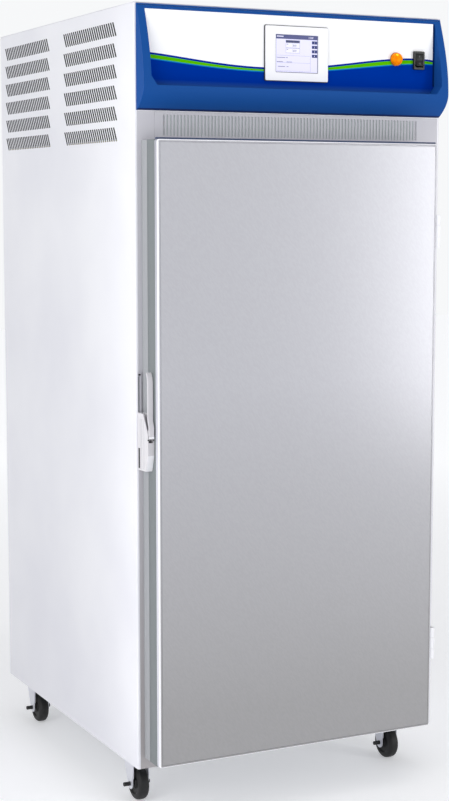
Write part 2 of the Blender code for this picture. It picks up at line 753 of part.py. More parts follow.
def fan_wheel(name, centre, radius):
    """An axial fan on a shaft along Y: a bored hub with pitched blades."""
    bore = FAN_SHAFT_R + GAP
    hub = turned(name, centre, (0, 1, 0),
                 [(bore, FAN_W / 2), (FAN_HUB_R, FAN_W / 2), (FAN_HUB_R, -FAN_W / 2), (bore, -FAN_W / 2)],
                 black_plastic(), 20, ring=True)
    for i in range(BLADES):
        blade = tool_box(f"{name}_blade_{i}", (FAN_HUB_R - BLADE_ROOT, -BLADE_T / 2, -FAN_W / 2),
                         (radius, BLADE_T / 2, FAN_W / 2))
        reach = (FAN_HUB_R - BLADE_ROOT + radius) / 2
        blade.rotation_mode = "QUATERNION"
        around = Quaternion((0, 1, 0), 2 * math.pi * i / BLADES)
        around = around @ Quaternion((1, 0, 0), math.radians(BLADE_ANGLE))
        blade.rotation_quaternion = around
        blade.location = Vector(centre) + around @ Vector((reach, 0, 0))
        join(hub, blade)
    return hub


def circulation_fan():
    """The chamber fan's motor on the back wall, and its wheel behind the baffle."""
    wall = CHAMBER_Y1 - LINER_T - GAP
    z = CHAMBER_Z1 - FAN_DROP
    nose = MOTOR_D + FAN_STANDOFF + FAN_W
    profile = [(0, nose), (FAN_SHAFT_R, nose), (FAN_SHAFT_R, MOTOR_D), (MOTOR_R, MOTOR_D),
               (MOTOR_R, 0), (0, 0)]
    turned("circulation_fan_motor", (0, wall, z), (0, -1, 0), profile, zinc(), 20)
    return fan_wheel("circulation_fan", (0, wall - nose + FAN_W / 2, z), FAN_R)


def serpentine(name, x, y, z_low, width, pitch, passes, radius, material):
    """A tube folded back and forth in an upright plane, with round bends."""
    points = []
    bend = pitch / 2
    half = width / 2 - bend
    for i in range(passes):
        z = z_low + radius + i * pitch
        way = 1 if i % 2 == 0 else -1
        points.append((x - way * half, y, z))
        points.append((x + way * half, y, z))
        if i < passes - 1:
            for u, v in arc(0, 0, bend, -60, 60, 4):
                points.append((x + way * (half + u), y, z + bend + v))
    return tube_path(name, points, radius, material)


def compressor():
    """A hermetic compressor: a domed steel shell on its foot plate."""
    bay = DECK_Z + SHEET + GAP
    foot = box("compressor", (COMPRESSOR_X - COMPRESSOR_FOOT / 2, FRONT + COMPRESSOR_Y - COMPRESSOR_R, bay),
               (COMPRESSOR_X + COMPRESSOR_FOOT / 2, FRONT + COMPRESSOR_Y + COMPRESSOR_R,
                bay + COMPRESSOR_FOOT_T), black_plastic())
    spring = COMPRESSOR_H - COMPRESSOR_DOME_H
    dome = [(COMPRESSOR_R * math.cos(math.radians(a)), spring + COMPRESSOR_DOME_H * math.sin(math.radians(a)))
            for a in (60, 30, 0)]
    profile = [(0, COMPRESSOR_H), *dome, (COMPRESSOR_R, COMPRESSOR_TAPER_H), (COMPRESSOR_TAPER_R, 0), (0, 0)]
    shell = turned("compressor_shell", (COMPRESSOR_X, FRONT + COMPRESSOR_Y, bay + COMPRESSOR_FOOT_T / 2),
                   (0, 0, 1), profile, steps=20, group="cutters")
    return join(foot, shell)


def condenser_fan():
    """The cooling fan behind the condenser: a square shroud that holds the motor, and the wheel."""
    bay = DECK_Z + SHEET + GAP
    z = bay + SHROUD_SIZE / 2
    y0 = FRONT + SHROUD_Y
    half = SHROUD_SIZE / 2
    mouth = arc(CONDENSER_X, z, COOLING_FAN_R + FAN_TIP_CLEAR, 0, 348.75, 31)
    shroud = prism("condenser_fan_shroud", "Y",
                   rectangle(CONDENSER_X - half, z - half, CONDENSER_X + half, z + half),
                   y0, y0 + SHROUD_D, zinc(), [mouth])
    bar_y = y0 + SHROUD_D - STRUT
    join(shroud, tool_box("shroud_strut", (CONDENSER_X - half + GAP, bar_y, z - STRUT),
                          (CONDENSER_X + half - GAP, y0 + SHROUD_D + STRUT_BEHIND, z + STRUT)))
    nose = FAN_STANDOFF + FAN_W
    profile = [(0, nose), (FAN_SHAFT_R, nose), (FAN_SHAFT_R, 0), (COOLING_MOTOR_R, 0),
               (COOLING_MOTOR_R, -MOTOR_D), (0, -MOTOR_D)]
    join(shroud, turned("shroud_motor", (CONDENSER_X, bar_y - GAP, z), (0, -1, 0), profile,
                        steps=16, group="cutters"))
    return fan_wheel("condenser_fan", (CONDENSER_X, bar_y - GAP - nose + FAN_W / 2, z), COOLING_FAN_R)


def temperature_probe():
    """A rod sensor that stands out from the duct cover into the chamber."""
    profile = [(0, PROBE_L), (PROBE_R, PROBE_L - PROBE_R), (PROBE_R, PROBE_FLANGE_T),
               (PROBE_FLANGE_R, PROBE_FLANGE_T), (PROBE_FLANGE_R, 0), (0, 0)]
    centre = (CHAMBER_X1 - WALL, BAFFLE_Y - GAP, CHAMBER_Z1 - FAN_DROP)
    return turned("temperature_probe", centre, (0, -1, 0), profile, steel(), 12)


def hood_depth(height):
    """How far the hood stands out at a height above its lower edge."""
    if height > HOOD_SHOULDER:
        share = (height - HOOD_SHOULDER) / (HOOD_H - HOOD_SHOULDER)
        bow = math.cos(share * math.pi / 2)
    else:
        share = 1 - height / HOOD_SHOULDER
        bow = max(math.cos(share * math.pi / 2), 0) ** 0.85
    return HOOD_LIP + (HOOD_BULGE - HOOD_LIP) * bow


def hood_outline(inset, low, high):
    """The hood's side view as Y and Z, set in from its skin, between two heights."""
    face = []
    for i in range(HOOD_STEPS + 1):
        height = low + (high - low) * i / HOOD_STEPS
        face.append((FRONT - GAP - max(hood_depth(height) - inset, HOOD_LIP / 2), HOOD_Z0 + height))
    return face


def control_hood():
    """The blue moulded hood: bowed face, recessed control bay and a hollow back."""
    back = FRONT - GAP
    x0, x1 = LEFT + HOOD_SIDE, RIGHT - HOOD_SIDE
    outline = hood_outline(0, 0, HOOD_SHOULDER)[:-1] + hood_outline(0, HOOD_SHOULDER, HOOD_H)
    outline += [(back, HOOD_Z1), (back, HOOD_Z0)]
    hood = prism("control_hood", "X", outline, x0, x1, blue_plastic())
    r0, r1 = x0 + RECESS_CHEEK, x1 - RECESS_CHEEK
    recess = [(r0 + RECESS_CHAMFER_X, RECESS_Z0), (r1 - RECESS_CHAMFER_X, RECESS_Z0),
              (r1, RECESS_Z0 + RECESS_CHAMFER_Z), (r1, RECESS_Z1), (r0, RECESS_Z1),
              (r0, RECESS_Z0 + RECESS_CHAMFER_Z)]
    cut(hood, prism("hood_recess", "Y", recess, back - 2 * HOOD_BULGE, back - RECESS_FLOOR,
                    group="cutters"))
    behind = tool_box("hood_back_hollow",
                      (x0 + HOOD_WALL, back - RECESS_FLOOR + HOOD_WALL, HOOD_Z0 + HOOD_WALL),
                      (x1 - HOOD_WALL, back + HOOD_WALL, HOOD_Z1 - HOOD_WALL))
    ledge = hood_outline(HOOD_WALL, HOOD_WALL, HOOD_SHOULDER - HOOD_WALL)
    ledge += [(back + HOOD_WALL, RECESS_Z0 - HOOD_WALL), (back + HOOD_WALL, HOOD_Z0 + HOOD_WALL)]
    cut(hood, behind)
    cut(hood, prism("hood_ledge_hollow", "X", ledge, x0 + HOOD_WALL, x1 - HOOD_WALL, group="cutters"))
    return cut(hood, *control_cutouts("hood"))


def control_cutouts(owner):
    """Holes for the display, the lamp and the switch, through the hood floor and the graphic."""
    screen = Vector((SCREEN_X, FRONT, SCREEN_Z))
    lamp = Vector((LAMP_X, FRONT, LAMP_Z))
    switch = Vector((SWITCH_X, FRONT, SWITCH_Z))
    reach = 2 * RECESS_FLOOR
    holes = []
    for name, centre, width, height in (("screen", screen, SCREEN_BACK_W, SCREEN_BACK_H),
                                        ("switch", switch, SWITCH_BODY_W, SWITCH_BODY_H)):
        half = Vector((width / 2 + GAP, reach, height / 2 + GAP))
        holes.append(tool_box(f"{owner}_{name}_hole", centre - half, centre + half))
    way = Vector((0, reach, 0))
    holes.append(tool_rod(f"{owner}_lamp_hole", lamp - way, lamp + way, LAMP_STEM_R + GAP))
    return holes


def graphic_panel():
    """The printed overlay on the floor of the control bay."""
    x0 = LEFT + HOOD_SIDE + RECESS_CHEEK + GAP
    x1 = RIGHT - HOOD_SIDE - RECESS_CHEEK - GAP
    z0, z1 = RECESS_Z0 + GAP, RECESS_Z1 - GAP
    shape = [(x0 + RECESS_CHAMFER_X, z0), (x1 - RECESS_CHAMFER_X, z0), (x1, z0 + RECESS_CHAMFER_Z), (x1, z1),
             (x0, z1), (x0, z0 + RECESS_CHAMFER_Z)]
    sheet = prism("graphic_panel", "Y", shape, GRAPHIC_Y, GRAPHIC_Y + GRAPHIC_T,
                  finish("white_overlay", (0.85, 0.85, 0.87), 0.4))
    return cut(sheet, *control_cutouts("graphic"))


def display():
    """The touch display: a frame on the overlay and the screen unit that fills it from behind."""
    x, z = SCREEN_X, SCREEN_Z
    back = GRAPHIC_Y - GAP
    window = rectangle(x - SCREEN_W / 2 - GAP, z - SCREEN_H / 2 - GAP,
                       x + SCREEN_W / 2 + GAP, z + SCREEN_H / 2 + GAP)
    prism("display_bezel", "Y", rectangle(x - BEZEL_W / 2, z - BEZEL_H / 2, x + BEZEL_W / 2, z + BEZEL_H / 2),
          back - BEZEL_T, back, finish("bezel_plastic", (0.75, 0.75, 0.78), 0.4), [window])
    unit = box("display_screen", (x - SCREEN_BACK_W / 2, back + GAP, z - SCREEN_BACK_H / 2),
               (x + SCREEN_BACK_W / 2, back + SCREEN_BACK_D, z + SCREEN_BACK_H / 2),
               finish("display_glass", (0.70, 0.70, 0.90), 0.15))
    glass = tool_box("display_glass", (x - SCREEN_W / 2, back - BEZEL_T + SCREEN_SINK, z - SCREEN_H / 2),
                     (x + SCREEN_W / 2, back + SCREEN_BACK_D / 2, z + SCREEN_H / 2))
    return join(unit, glass)


def indicator_lamp():
    """A domed pilot lamp, with its stem through the overlay."""
    rise = LAMP_OUT - LAMP_BASE_H
    dome = [(LAMP_R * math.cos(math.radians(a)), LAMP_BASE_H + rise * math.sin(math.radians(a)))
            for a in (65, 40, 15, 0)]
    profile = [(0, LAMP_OUT), *dome, (LAMP_R, 0), (LAMP_STEM_R, 0), (LAMP_STEM_R, -LAMP_STEM_L),
               (0, -LAMP_STEM_L)]
    centre = (LAMP_X, GRAPHIC_Y - GAP, LAMP_Z)
    return turned("indicator_lamp", centre, (0, -1, 0), profile,
                  finish("amber_lens", (0.9, 0.25, 0.02), 0.25), 24)


def mains_switch():
    """The mains rocker switch: a housing in the overlay, and the rocker on its cross axis."""
    x, z = SWITCH_X, SWITCH_Z
    back = GRAPHIC_Y - GAP
    housing = box("switch_housing", (x - SWITCH_W / 2, SWITCH_FACE_Y, z - SWITCH_H / 2),
                  (x + SWITCH_W / 2, back, z + SWITCH_H / 2), black_plastic())
    body = tool_box("switch_body", (x - SWITCH_BODY_W / 2, back - GAP, z - SWITCH_BODY_H / 2),
                    (x + SWITCH_BODY_W / 2, back + SWITCH_BODY_D, z + SWITCH_BODY_H / 2))
    room = ROCKER_HALF_H + ROCKER_END_CLEAR
    well = tool_box("switch_well", (x - ROCKER_W / 2 - GAP, SWITCH_FACE_Y - GAP, z - room),
                    (x + ROCKER_W / 2 + GAP, back + SWITCH_BODY_D - SWITCH_WELL_FLOOR, z + room))
    cut(join(housing, body), well)
    lift = ROCKER_HALF_H * math.tan(math.radians(ROCKER_TILT))
    half = ROCKER_HALF_H
    rear = half * ROCKER_BACK
    flat = [(-half, 0), (-half, ROCKER_OUT + lift), (0, ROCKER_OUT), (half, ROCKER_OUT + lift), (half, 0),
            (rear, ROCKER_OUT - ROCKER_DEPTH), (-rear, ROCKER_OUT - ROCKER_DEPTH)]
    tilt = -math.radians(ROCKER_TILT)   # at rest the lower end stands out
    outline = []
    for up, forward in flat:
        turned_up = up * math.cos(tilt) - forward * math.sin(tilt)
        turned_forward = up * math.sin(tilt) + forward * math.cos(tilt)
        outline.append((ROCKER_AXIS.y - turned_forward, ROCKER_AXIS.z + turned_up))
    rocker = prism("power_rocker", "X", outline, x - ROCKER_W / 2, x + ROCKER_W / 2, black_plastic())
    reach = Vector((ROCKER_W / 2 + GAP, 0, 0))
    cut(rocker, tool_rod("rocker_bore", ROCKER_AXIS - reach, ROCKER_AXIS + reach, ROCKER_PIN_R + GAP, 12))
    reach = Vector((SWITCH_BODY_W / 2 - GAP, 0, 0))
    join(housing, tool_rod("rocker_pin", ROCKER_AXIS - reach, ROCKER_AXIS + reach, ROCKER_PIN_R, 12))
    return pivot("power_rocker_axis", ROCKER_AXIS, [rocker])


def hinge_heights():
    return {"lower": DOOR_Z0 + HINGE_END_MARGIN, "upper": DOOR_Z1 - HINGE_END_MARGIN - HINGE_H}


def hinge_bracket(name, z):
    """The cabinet half of a hinge: a plate on the stile, an arm, two knuckles and the pin."""
    x, y = DOOR_AXIS.x, DOOR_AXIS.y
    top = z + HINGE_H
    plate_y = FRONT - GAP
    half = HINGE_ARM_T / 2
    plate = box(name, (x - half, plate_y - HINGE_PLATE_T, z), (x - half + HINGE_PLATE_W, plate_y, top), zinc())
    clear = HINGE_R + 2 * GAP
    join(plate, tool_box(name + "_arm", (x - half, y + clear, z),
                         (x + half, plate_y - HINGE_PLATE_T / 2, top)))
    for i, low in enumerate((z, top - HINGE_KNUCKLE_H)):
        high = low + HINGE_KNUCKLE_H
        join(plate, tool_box(f"{name}_web_{i}", (x - half, y, low), (x + half, y + 2 * clear, high)))
        join(plate, tool_rod(f"{name}_knuckle_{i}", (x, y, low), (x, y, high), HINGE_R))
    return join(plate, tool_rod(name + "_pin", (x, y, z), (x, y, top), HINGE_PIN_R))


def hinge_leaf(name, z):
    """The door half of a hinge: a leaf on the door's side and the middle knuckle."""
    x, y = DOOR_AXIS.x, DOOR_AXIS.y
    low = z + HINGE_KNUCKLE_H + GAP
    high = z + HINGE_H - HINGE_KNUCKLE_H - GAP
    face = DOOR_X1 + GAP
    leaf = box(name, (face, y + HINGE_R + 2 * GAP, z), (face + HINGE_LEAF_T, y + HINGE_LEAF_D, z + HINGE_H),
               zinc())
    join(leaf, tool_box(name + "_web", (face, y, low), (face + HINGE_LEAF_T, y + 2 * HINGE_R, high)))
    join(leaf, tool_rod(name + "_knuckle", (x, y, low), (x, y, high), HINGE_R))
    return cut(leaf, tool_rod(name + "_bore", (x, y, z), (x, y, z + HINGE_H), HINGE_PIN_R + GAP))


def door_panels():
    """The door's shell, from the front: skin, edge band, inner panel, gasket, and foam within."""
    band_y = DOOR_Y0 + SKIN_RETURN
    inner_y = band_y + EDGE_BAND
    panel_y = FRONT - GASKET_T
    skin = pan("door_skin", (DOOR_X0, DOOR_Y0, DOOR_Z0), (DOOR_X1, band_y, DOOR_Z1), (0, 1, 0), SHEET,
               white_paint())
    outer = rectangle(DOOR_X0, DOOR_Z0, DOOR_X1, DOOR_Z1)
    w = EDGE_BAND_W
    hole = rectangle(DOOR_X0 + w, DOOR_Z0 + w, DOOR_X1 - w, DOOR_Z1 - w)
    band = prism("door_edge_frame", "Y", outer, band_y + GAP, inner_y - GAP,
                 finish("dark_grey_trim", (0.26, 0.28, 0.29), 0.5), [hole])
    inner = pan("door_inner_panel", (DOOR_X0, inner_y, DOOR_Z0), (DOOR_X1, panel_y - GAP, DOOR_Z1),
                (0, -1, 0), SHEET, grey_paint())
    p = PLUG_INSET
    join(inner, tool_box("door_plug", (DOOR_X0 + p, panel_y - GAP - SHEET / 2, DOOR_Z0 + p),
                         (DOOR_X1 - p, panel_y + PLUG_RISE, DOOR_Z1 - p)))
    p = PLUG_INSET + SHEET
    cut(inner, tool_box("door_plug_hollow", (DOOR_X0 + p, panel_y - GAP - 2 * SHEET, DOOR_Z0 + p),
                        (DOOR_X1 - p, panel_y + PLUG_RISE - SHEET, DOOR_Z1 - p)))
    f = EDGE_BAND_W + GAP
    block = box("door_insulation", (DOOR_X0 + f, DOOR_Y0 + SHEET + GAP, DOOR_Z0 + f),
                (DOOR_X1 - f, panel_y - 2 * SHEET - GAP, DOOR_Z1 - f), foam())
    g = GASKET_W
    seal = prism("door_gasket", "Y", outer, panel_y, FRONT - GAP, grey_rubber(),
                 [rectangle(DOOR_X0 + g, DOOR_Z0 + g, DOOR_X1 - g, DOOR_Z1 - g)])
    return [skin, band, inner, block, seal]


def latch_case():
    """The latch body on the door's side: a slotted case with the lever's pin across it."""
    x1 = DOOR_X0 - GAP
    x0 = DOOR_X0 - LATCH_OUT
    front, back = FRONT - LATCH_FRONT, FRONT - LATCH_BACK
    z0, z1 = LATCH_Z0, LATCH_Z1
    side = [(back, z0), (back - LATCH_SOLE_D, z0 + LATCH_SOLE_RISE), (front, z0 + LATCH_CHIN_H),
            (front, z1 - LATCH_BROW_H), (front + LATCH_BROW_D, z1), (back, z1)]
    case = prism("latch_case", "X", side, x0, x1, white_paint())
    slot_low = LEVER_AXIS.z - LEVER_BOSS_R - 2 * GAP
    cut(case, tool_box("latch_slot", (x0 + LATCH_CHEEK, front - LATCH_WEB, slot_low),
                       (x1 - LATCH_CHEEK, back - LATCH_WEB, z1 + LATCH_WEB)))
    return join(case, tool_rod("latch_pin", (x0 + LATCH_CHEEK / 2, LEVER_AXIS.y, LEVER_AXIS.z),
                               (x1 - LATCH_CHEEK / 2, LEVER_AXIS.y, LEVER_AXIS.z), LATCH_PIN_R, 12))


def latch_lever():
    """The pull lever: a boss on the pin, and a long grip that bends back at its tip."""
    x0 = DOOR_X0 - LATCH_OUT + LATCH_CHEEK + GAP
    x1 = DOOR_X0 - GAP - LATCH_CHEEK - GAP
    y, z = LEVER_AXIS.y, LEVER_AXIS.z
    grip = FRONT - LEVER_FRONT
    tip = LEVER_TIP_Z
    half = LEVER_T / 2
    outline = arc(y, z, LEVER_BOSS_R, 20, -110, 6)
    outline += [(grip + half, z + LEVER_HEEL_Z), (grip, z + LEVER_GRIP_Z), (grip, tip - LEVER_BEND_H),
                (grip + LEVER_BEND_D, tip), (grip + LEVER_BEND_D + LEVER_T, tip - half),
                (grip + LEVER_T, tip - LEVER_BEND_H - half), (grip + LEVER_T, z + LEVER_GRIP_Z),
                (grip + LEVER_T + half, z + LEVER_HEEL_Z + half)]
    lever = prism("latch_lever", "X", outline, x0, x1, white_paint())
    bore = LATCH_PIN_R + GAP
    return cut(lever, tool_rod("lever_bore", (x0 - GAP, y, z), (x1 + GAP, y, z), bore, 12))


def strike_plate():
    """The narrow plate on the stile that the latch closes against."""
    x1 = DOOR_X0 - STRIKE_CLEAR
    return box("strike_plate", (x1 - STRIKE_W, FRONT - GAP - STRIKE_T, LATCH_Z0 + STRIKE_RISE),
               (x1, FRONT - GAP, LEVER_TIP_Z), grey_paint())


def door():
    """The whole door on its hinge axis, with the latch."""
    pieces = door_panels()
    for level, z in hinge_heights().items():
        hinge_bracket(f"{level}_hinge_bracket", z)
        pieces.append(hinge_leaf(f"{level}_hinge_leaf", z))
    pieces.append(latch_case())
    strike_plate()
    swing = pivot("door_axis", DOOR_AXIS, pieces)
    lever_axis = pivot("latch_lever_axis", LEVER_AXIS, [latch_lever()])
    lever_axis.parent = swing
    lever_axis.matrix_parent_inverse = swing.matrix_world.inverted()


def wheel_profile():
    """The tyre's section as radius and height, rounded at both shoulders and bored for the axle."""
    half = WHEEL_W / 2
    s = WHEEL_SHOULDER
    bore = AXLE_R + AXLE_CLEAR
    upper = [(r, h) for r, h in arc(WHEEL_R - s, half - s, s, 90, 0, 4)]
    lower = [(r, -h) for r, h in reversed(upper)]
    return [(bore, half), *upper, *lower, (bore, -half)]


def caster_leg(name, x, axle, top):
    """One fork leg: round at the axle, and wider towards the swivel."""
    outline = [(axle.y - LEG_R - LEG_FLARE, top), *arc(axle.y, axle.z, LEG_R, 180, 360, 8),
               (axle.y + LEG_TOP_REAR, top)]
    return prism(name, "X", outline, x - LEG_T / 2, x + LEG_T / 2, group="cutters")


def caster(name, x, swivel_y):
    """One swivel caster: mounting plate with its king pin, fork, axle and wheel."""
    axle = Vector((x, swivel_y - TRAIL, WHEEL_R))
    top = BOTTOM - GAP
    plate_low = top - PLATE_T
    plate = box(f"{name}_plate", (x - PLATE_W / 2, swivel_y - PLATE_L / 2, plate_low),
                (x + PLATE_W / 2, swivel_y + PLATE_L / 2, top), zinc())
    fork_top = plate_low - RACE_H - 2 * GAP
    fork_low = fork_top - FORK_T
    head_top = fork_low - GAP
    pin = [(0, plate_low + PLATE_T / 2), (RACE_R, plate_low + PLATE_T / 2), (RACE_R, plate_low - RACE_H),
           (KINGPIN_R, plate_low - RACE_H), (KINGPIN_R, head_top), (KINGPIN_HEAD_R, head_top),
           (KINGPIN_HEAD_R, head_top - KINGPIN_HEAD_H), (0, head_top - KINGPIN_HEAD_H)]
    join(plate, turned(f"{name}_kingpin", (x, swivel_y, 0), (0, 0, 1), pin, steps=20, group="cutters"))

    leg_x = WHEEL_W / 2 + LEG_CLEAR + LEG_T / 2
    reach = leg_x + LEG_T / 2 + GAP
    fork = box(f"{name}_fork", (x - reach, axle.y - LEG_R - 2 * LEG_FLARE, fork_low),
               (x + reach, axle.y + LEG_TOP_REAR + LEG_FLARE, fork_top), zinc())
    crown = tool_rod(f"{name}_crown", (x, swivel_y, fork_low + GAP), (x, swivel_y, fork_top - GAP), RACE_R, 20)
    legs = [caster_leg(f"{name}_leg_{side}", x + side * leg_x, axle, fork_low + FORK_T / 2)
            for side in (-1, 1)]
    join(fork, crown, *legs)
    cut(fork, tool_rod(f"{name}_pin_hole", (x, swivel_y, fork_low - GAP), (x, swivel_y, fork_top + GAP),
                       KINGPIN_R + GAP))
    ends = Vector((reach + GAP, 0, 0))
    cut(fork, tool_rod(f"{name}_axle_holes", axle - ends, axle + ends, AXLE_R + GAP, 12))

    bolt = rod(f"{name}_axle", axle - Vector((reach + AXLE_LEFT, 0, 0)),
               axle + Vector((reach + AXLE_RIGHT, 0, 0)), AXLE_R, black_plastic(), 12)
    wheel = turned(f"{name}_wheel", axle, (1, 0, 0), wheel_profile(), rubber(), 24, ring=True)
    swing = pivot(f"{name}_swivel_axis", (x, swivel_y, axle.z), [fork, bolt])
    roll = pivot(f"{name}_wheel_axis", axle, [wheel])
    roll.parent = swing
    roll.matrix_parent_inverse = swing.matrix_world.inverted()


def casters():
    for end, y in (("front", FRONT + CASTER_FRONT), ("rear", BACK - CASTER_BACK)):
        for side, x in (("left", LEFT + CASTER_INSET_X), ("right", RIGHT - CASTER_INSET_X)):
            caster(f"{end}_{side}_caster", x, y)


def refrigeration():
    """Coils, compressor, heater and fans."""
    bay = DECK_Z + SHEET + GAP
    compressor()
    serpentine("condenser_coil", CONDENSER_X, FRONT + CONDENSER_Y, bay, CONDENSER_W, CONDENSER_PITCH,
               COIL_PASSES, COIL_TUBE_R, copper())
    wheel = condenser_fan()
    pivot("condenser_fan_axis", wheel.location, [wheel])
    wall = CHAMBER_Y1 - LINER_T - GAP
    low = CHAMBER_Z1 - EVAPORATOR_DROP - (COIL_PASSES - 1) * EVAPORATOR_PITCH
    serpentine("evaporator_coil", 0, wall - COIL_TUBE_R, low, EVAPORATOR_W, EVAPORATOR_PITCH, COIL_PASSES,
               COIL_TUBE_R, copper())
    serpentine("air_heater", 0, wall - HEATER_TUBE_R, CHAMBER_Z1 - HEATER_DROP, HEATER_W,
               EVAPORATOR_PITCH, 2, HEATER_TUBE_R, steel())
    wheel = circulation_fan()
    pivot("circulation_fan_axis", wheel.location, [wheel])


def cabinet():
    side_panel("left_side_panel", LEFT, 1)
    side_panel("right_side_panel", RIGHT, -1)
    top_cover()
    back_panel()
    cable_gland()
    base_pan()
    front_frame()
    grille_panel()
    cabinet_insulation()
    chamber_liner()
    machine_deck()


def chamber_fittings():
    shelf_rack()
    for i, height in enumerate(shelf_heights()):
        wire_shelf(f"wire_shelf_{i + 1}", height)
    baffle_panel()
    temperature_probe()


def controls():
    control_hood()
    graphic_panel()
    display()
    indicator_lamp()
    mains_switch()


clear_scene()
cabinet()
chamber_fittings()
refrigeration()
controls()
door()
casters()
bpy.context.view_layer.update()
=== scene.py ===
# %% [markdown]
# # A cooled incubator for water samples, dressed cell by cell
# The real object is a steel cabinet on four casters, with a cooled chamber behind one thick
# door, a machine bay with louvres above it, and a blue moulded hood that holds the controls.
# The cells below replace the solids that need finer forms, and give every piece a finish.

# %% The frame
import math

import bmesh
import bpy
from mathutils import Matrix, Vector


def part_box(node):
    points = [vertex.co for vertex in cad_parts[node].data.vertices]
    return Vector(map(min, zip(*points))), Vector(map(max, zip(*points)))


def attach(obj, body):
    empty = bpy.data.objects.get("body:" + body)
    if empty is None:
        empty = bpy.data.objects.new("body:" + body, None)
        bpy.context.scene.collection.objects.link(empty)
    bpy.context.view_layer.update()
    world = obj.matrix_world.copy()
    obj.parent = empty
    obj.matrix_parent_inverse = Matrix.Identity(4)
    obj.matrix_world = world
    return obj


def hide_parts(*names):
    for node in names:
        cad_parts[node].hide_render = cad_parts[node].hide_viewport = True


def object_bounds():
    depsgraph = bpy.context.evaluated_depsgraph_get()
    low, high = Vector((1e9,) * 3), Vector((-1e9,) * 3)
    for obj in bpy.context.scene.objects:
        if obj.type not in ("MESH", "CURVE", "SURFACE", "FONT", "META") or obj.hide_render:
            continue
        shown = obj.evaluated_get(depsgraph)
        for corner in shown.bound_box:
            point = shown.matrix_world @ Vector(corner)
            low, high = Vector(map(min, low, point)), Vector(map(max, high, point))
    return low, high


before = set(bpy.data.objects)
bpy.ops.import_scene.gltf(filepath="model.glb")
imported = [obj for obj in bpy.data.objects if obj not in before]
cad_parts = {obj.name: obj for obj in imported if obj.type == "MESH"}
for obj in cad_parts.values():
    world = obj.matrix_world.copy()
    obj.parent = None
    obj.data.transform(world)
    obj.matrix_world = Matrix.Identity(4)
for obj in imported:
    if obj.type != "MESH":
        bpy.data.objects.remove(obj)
cad_low, cad_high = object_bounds()

# %% [markdown]
# ## Camera
# The picture was taken from the left of the door, a little above its middle, with a long lens.
# The angles were found by fitting straight cabinet edges, so the camera is set by numbers
# and not aimed by eye. The sensor's 36 mm lie along the picture's longer side.

# %% The camera
view = bpy.data.cameras.new("studio_camera")
view.lens = 75.43
view.sensor_width = 36
camera = bpy.data.objects.new("studio_camera", view)
camera.location = (-1.8665, -3.8184, 1.4008)
camera.rotation_euler = (math.radians(90 - 6.693), 0, math.radians(-26.342))
bpy.context.scene.collection.objects.link(camera)
bpy.context.scene.camera = camera
print("camera", round((camera.location - Vector((0, 0, 0.9))).length, 2), "m away")

# %% [markdown]
# ## Studio
# White enamel needs large, soft lights: each one shows up as a broad, faint sheen. The key at
# the front left keeps the louvred side bright. A tall soft box at the right puts the glow on
# the door's right edge, and a narrow strip brightens the side towards its front fold. The world
# is bright near the horizon, for a pale background, and dimmer above.


# %% Lights and floor
def soft_light(name, place, aim, width, height, power):
    """A rectangular lamp that faces a point."""
    lamp = bpy.data.lights.new(name, "AREA")
    lamp.shape = "RECTANGLE"
    lamp.size, lamp.size_y, lamp.energy = width, height, power
    made = bpy.data.objects.new(name, lamp)
    made.location = place
    made.rotation_euler = (Vector(aim) - Vector(place)).to_track_quat("-Z", "Y").to_euler()
    bpy.context.scene.collection.objects.link(made)


soft_light("key_light", (-3.4, -2.4, 2.7), (0, 0, 0.9), 2.2, 2.2, 47)
soft_light("right_box", (2.4, -3.1, 1.36), (0.22, -0.4, 1.3), 0.62, 1.9, 26)
soft_light("top_light", (0.2, -0.6, 4.2), (0, 0, 1.0), 3.0, 3.0, 34)
soft_light("edge_strip", (-0.62, -0.46, 0.95), (-0.3, -0.4, 0.95), 0.06, 1.8, 0.75)

def shades(tree, value, places, colours):
    """A value turned into a colour between two others."""
    ramp = tree.nodes.new("ShaderNodeValToRGB")
    for stop, place, colour in zip(ramp.color_ramp.elements, places, colours):
        stop.position, stop.color = place, (*colour, 1)
    tree.links.new(value, ramp.inputs["Fac"])
    return ramp.outputs["Color"]


world = bpy.data.worlds.new("studio")
world.use_nodes = True
tree = world.node_tree
look = tree.nodes.new("ShaderNodeTexCoord")
height = tree.nodes.new("ShaderNodeSeparateXYZ")
tree.links.new(look.outputs["Generated"], height.inputs["Vector"])
greys = [(level * 0.98, level * 0.99, level) for level in (0.95, 0.33)]
sky = shades(tree, height.outputs["Z"], (0.15, 0.35), greys)
tree.links.new(sky, tree.nodes["Background"].inputs["Color"])
bpy.context.scene.world = world
bpy.context.scene.view_settings.view_transform = "Standard"

# %% [markdown]
# ## Finishes
# Each finish starts as one shader with plain numbers, because a socket that is the same all over
# keeps its value on export. Detail comes from textures in the object's own metres: a mapping
# node stretches and turns them, and their value drives relief, colour and polish.


# %% Tools for finishes
def shade(code):
    """A screen colour as linear light."""
    parts = [int(code[i:i + 2], 16) / 255 for i in (0, 2, 4)]
    return [p / 12.92 if p <= 0.04045 else ((p + 0.055) / 1.055) ** 2.4 for p in parts]


def socket(coat, label):
    return coat.node_tree.nodes["Principled BSDF"].inputs[label]


def finish(name, colour, roughness, metallic=0.0, **values):
    """A coat of plain numbers."""
    coat = bpy.data.materials.new(name)
    coat.use_nodes = True
    values = {"base_color": (*shade(colour), 1), "roughness": roughness, "metallic": metallic, **values}
    for label, value in values.items():
        socket(coat, label.replace("_", " ").title().replace("Ior", "IOR")).default_value = value
    return coat


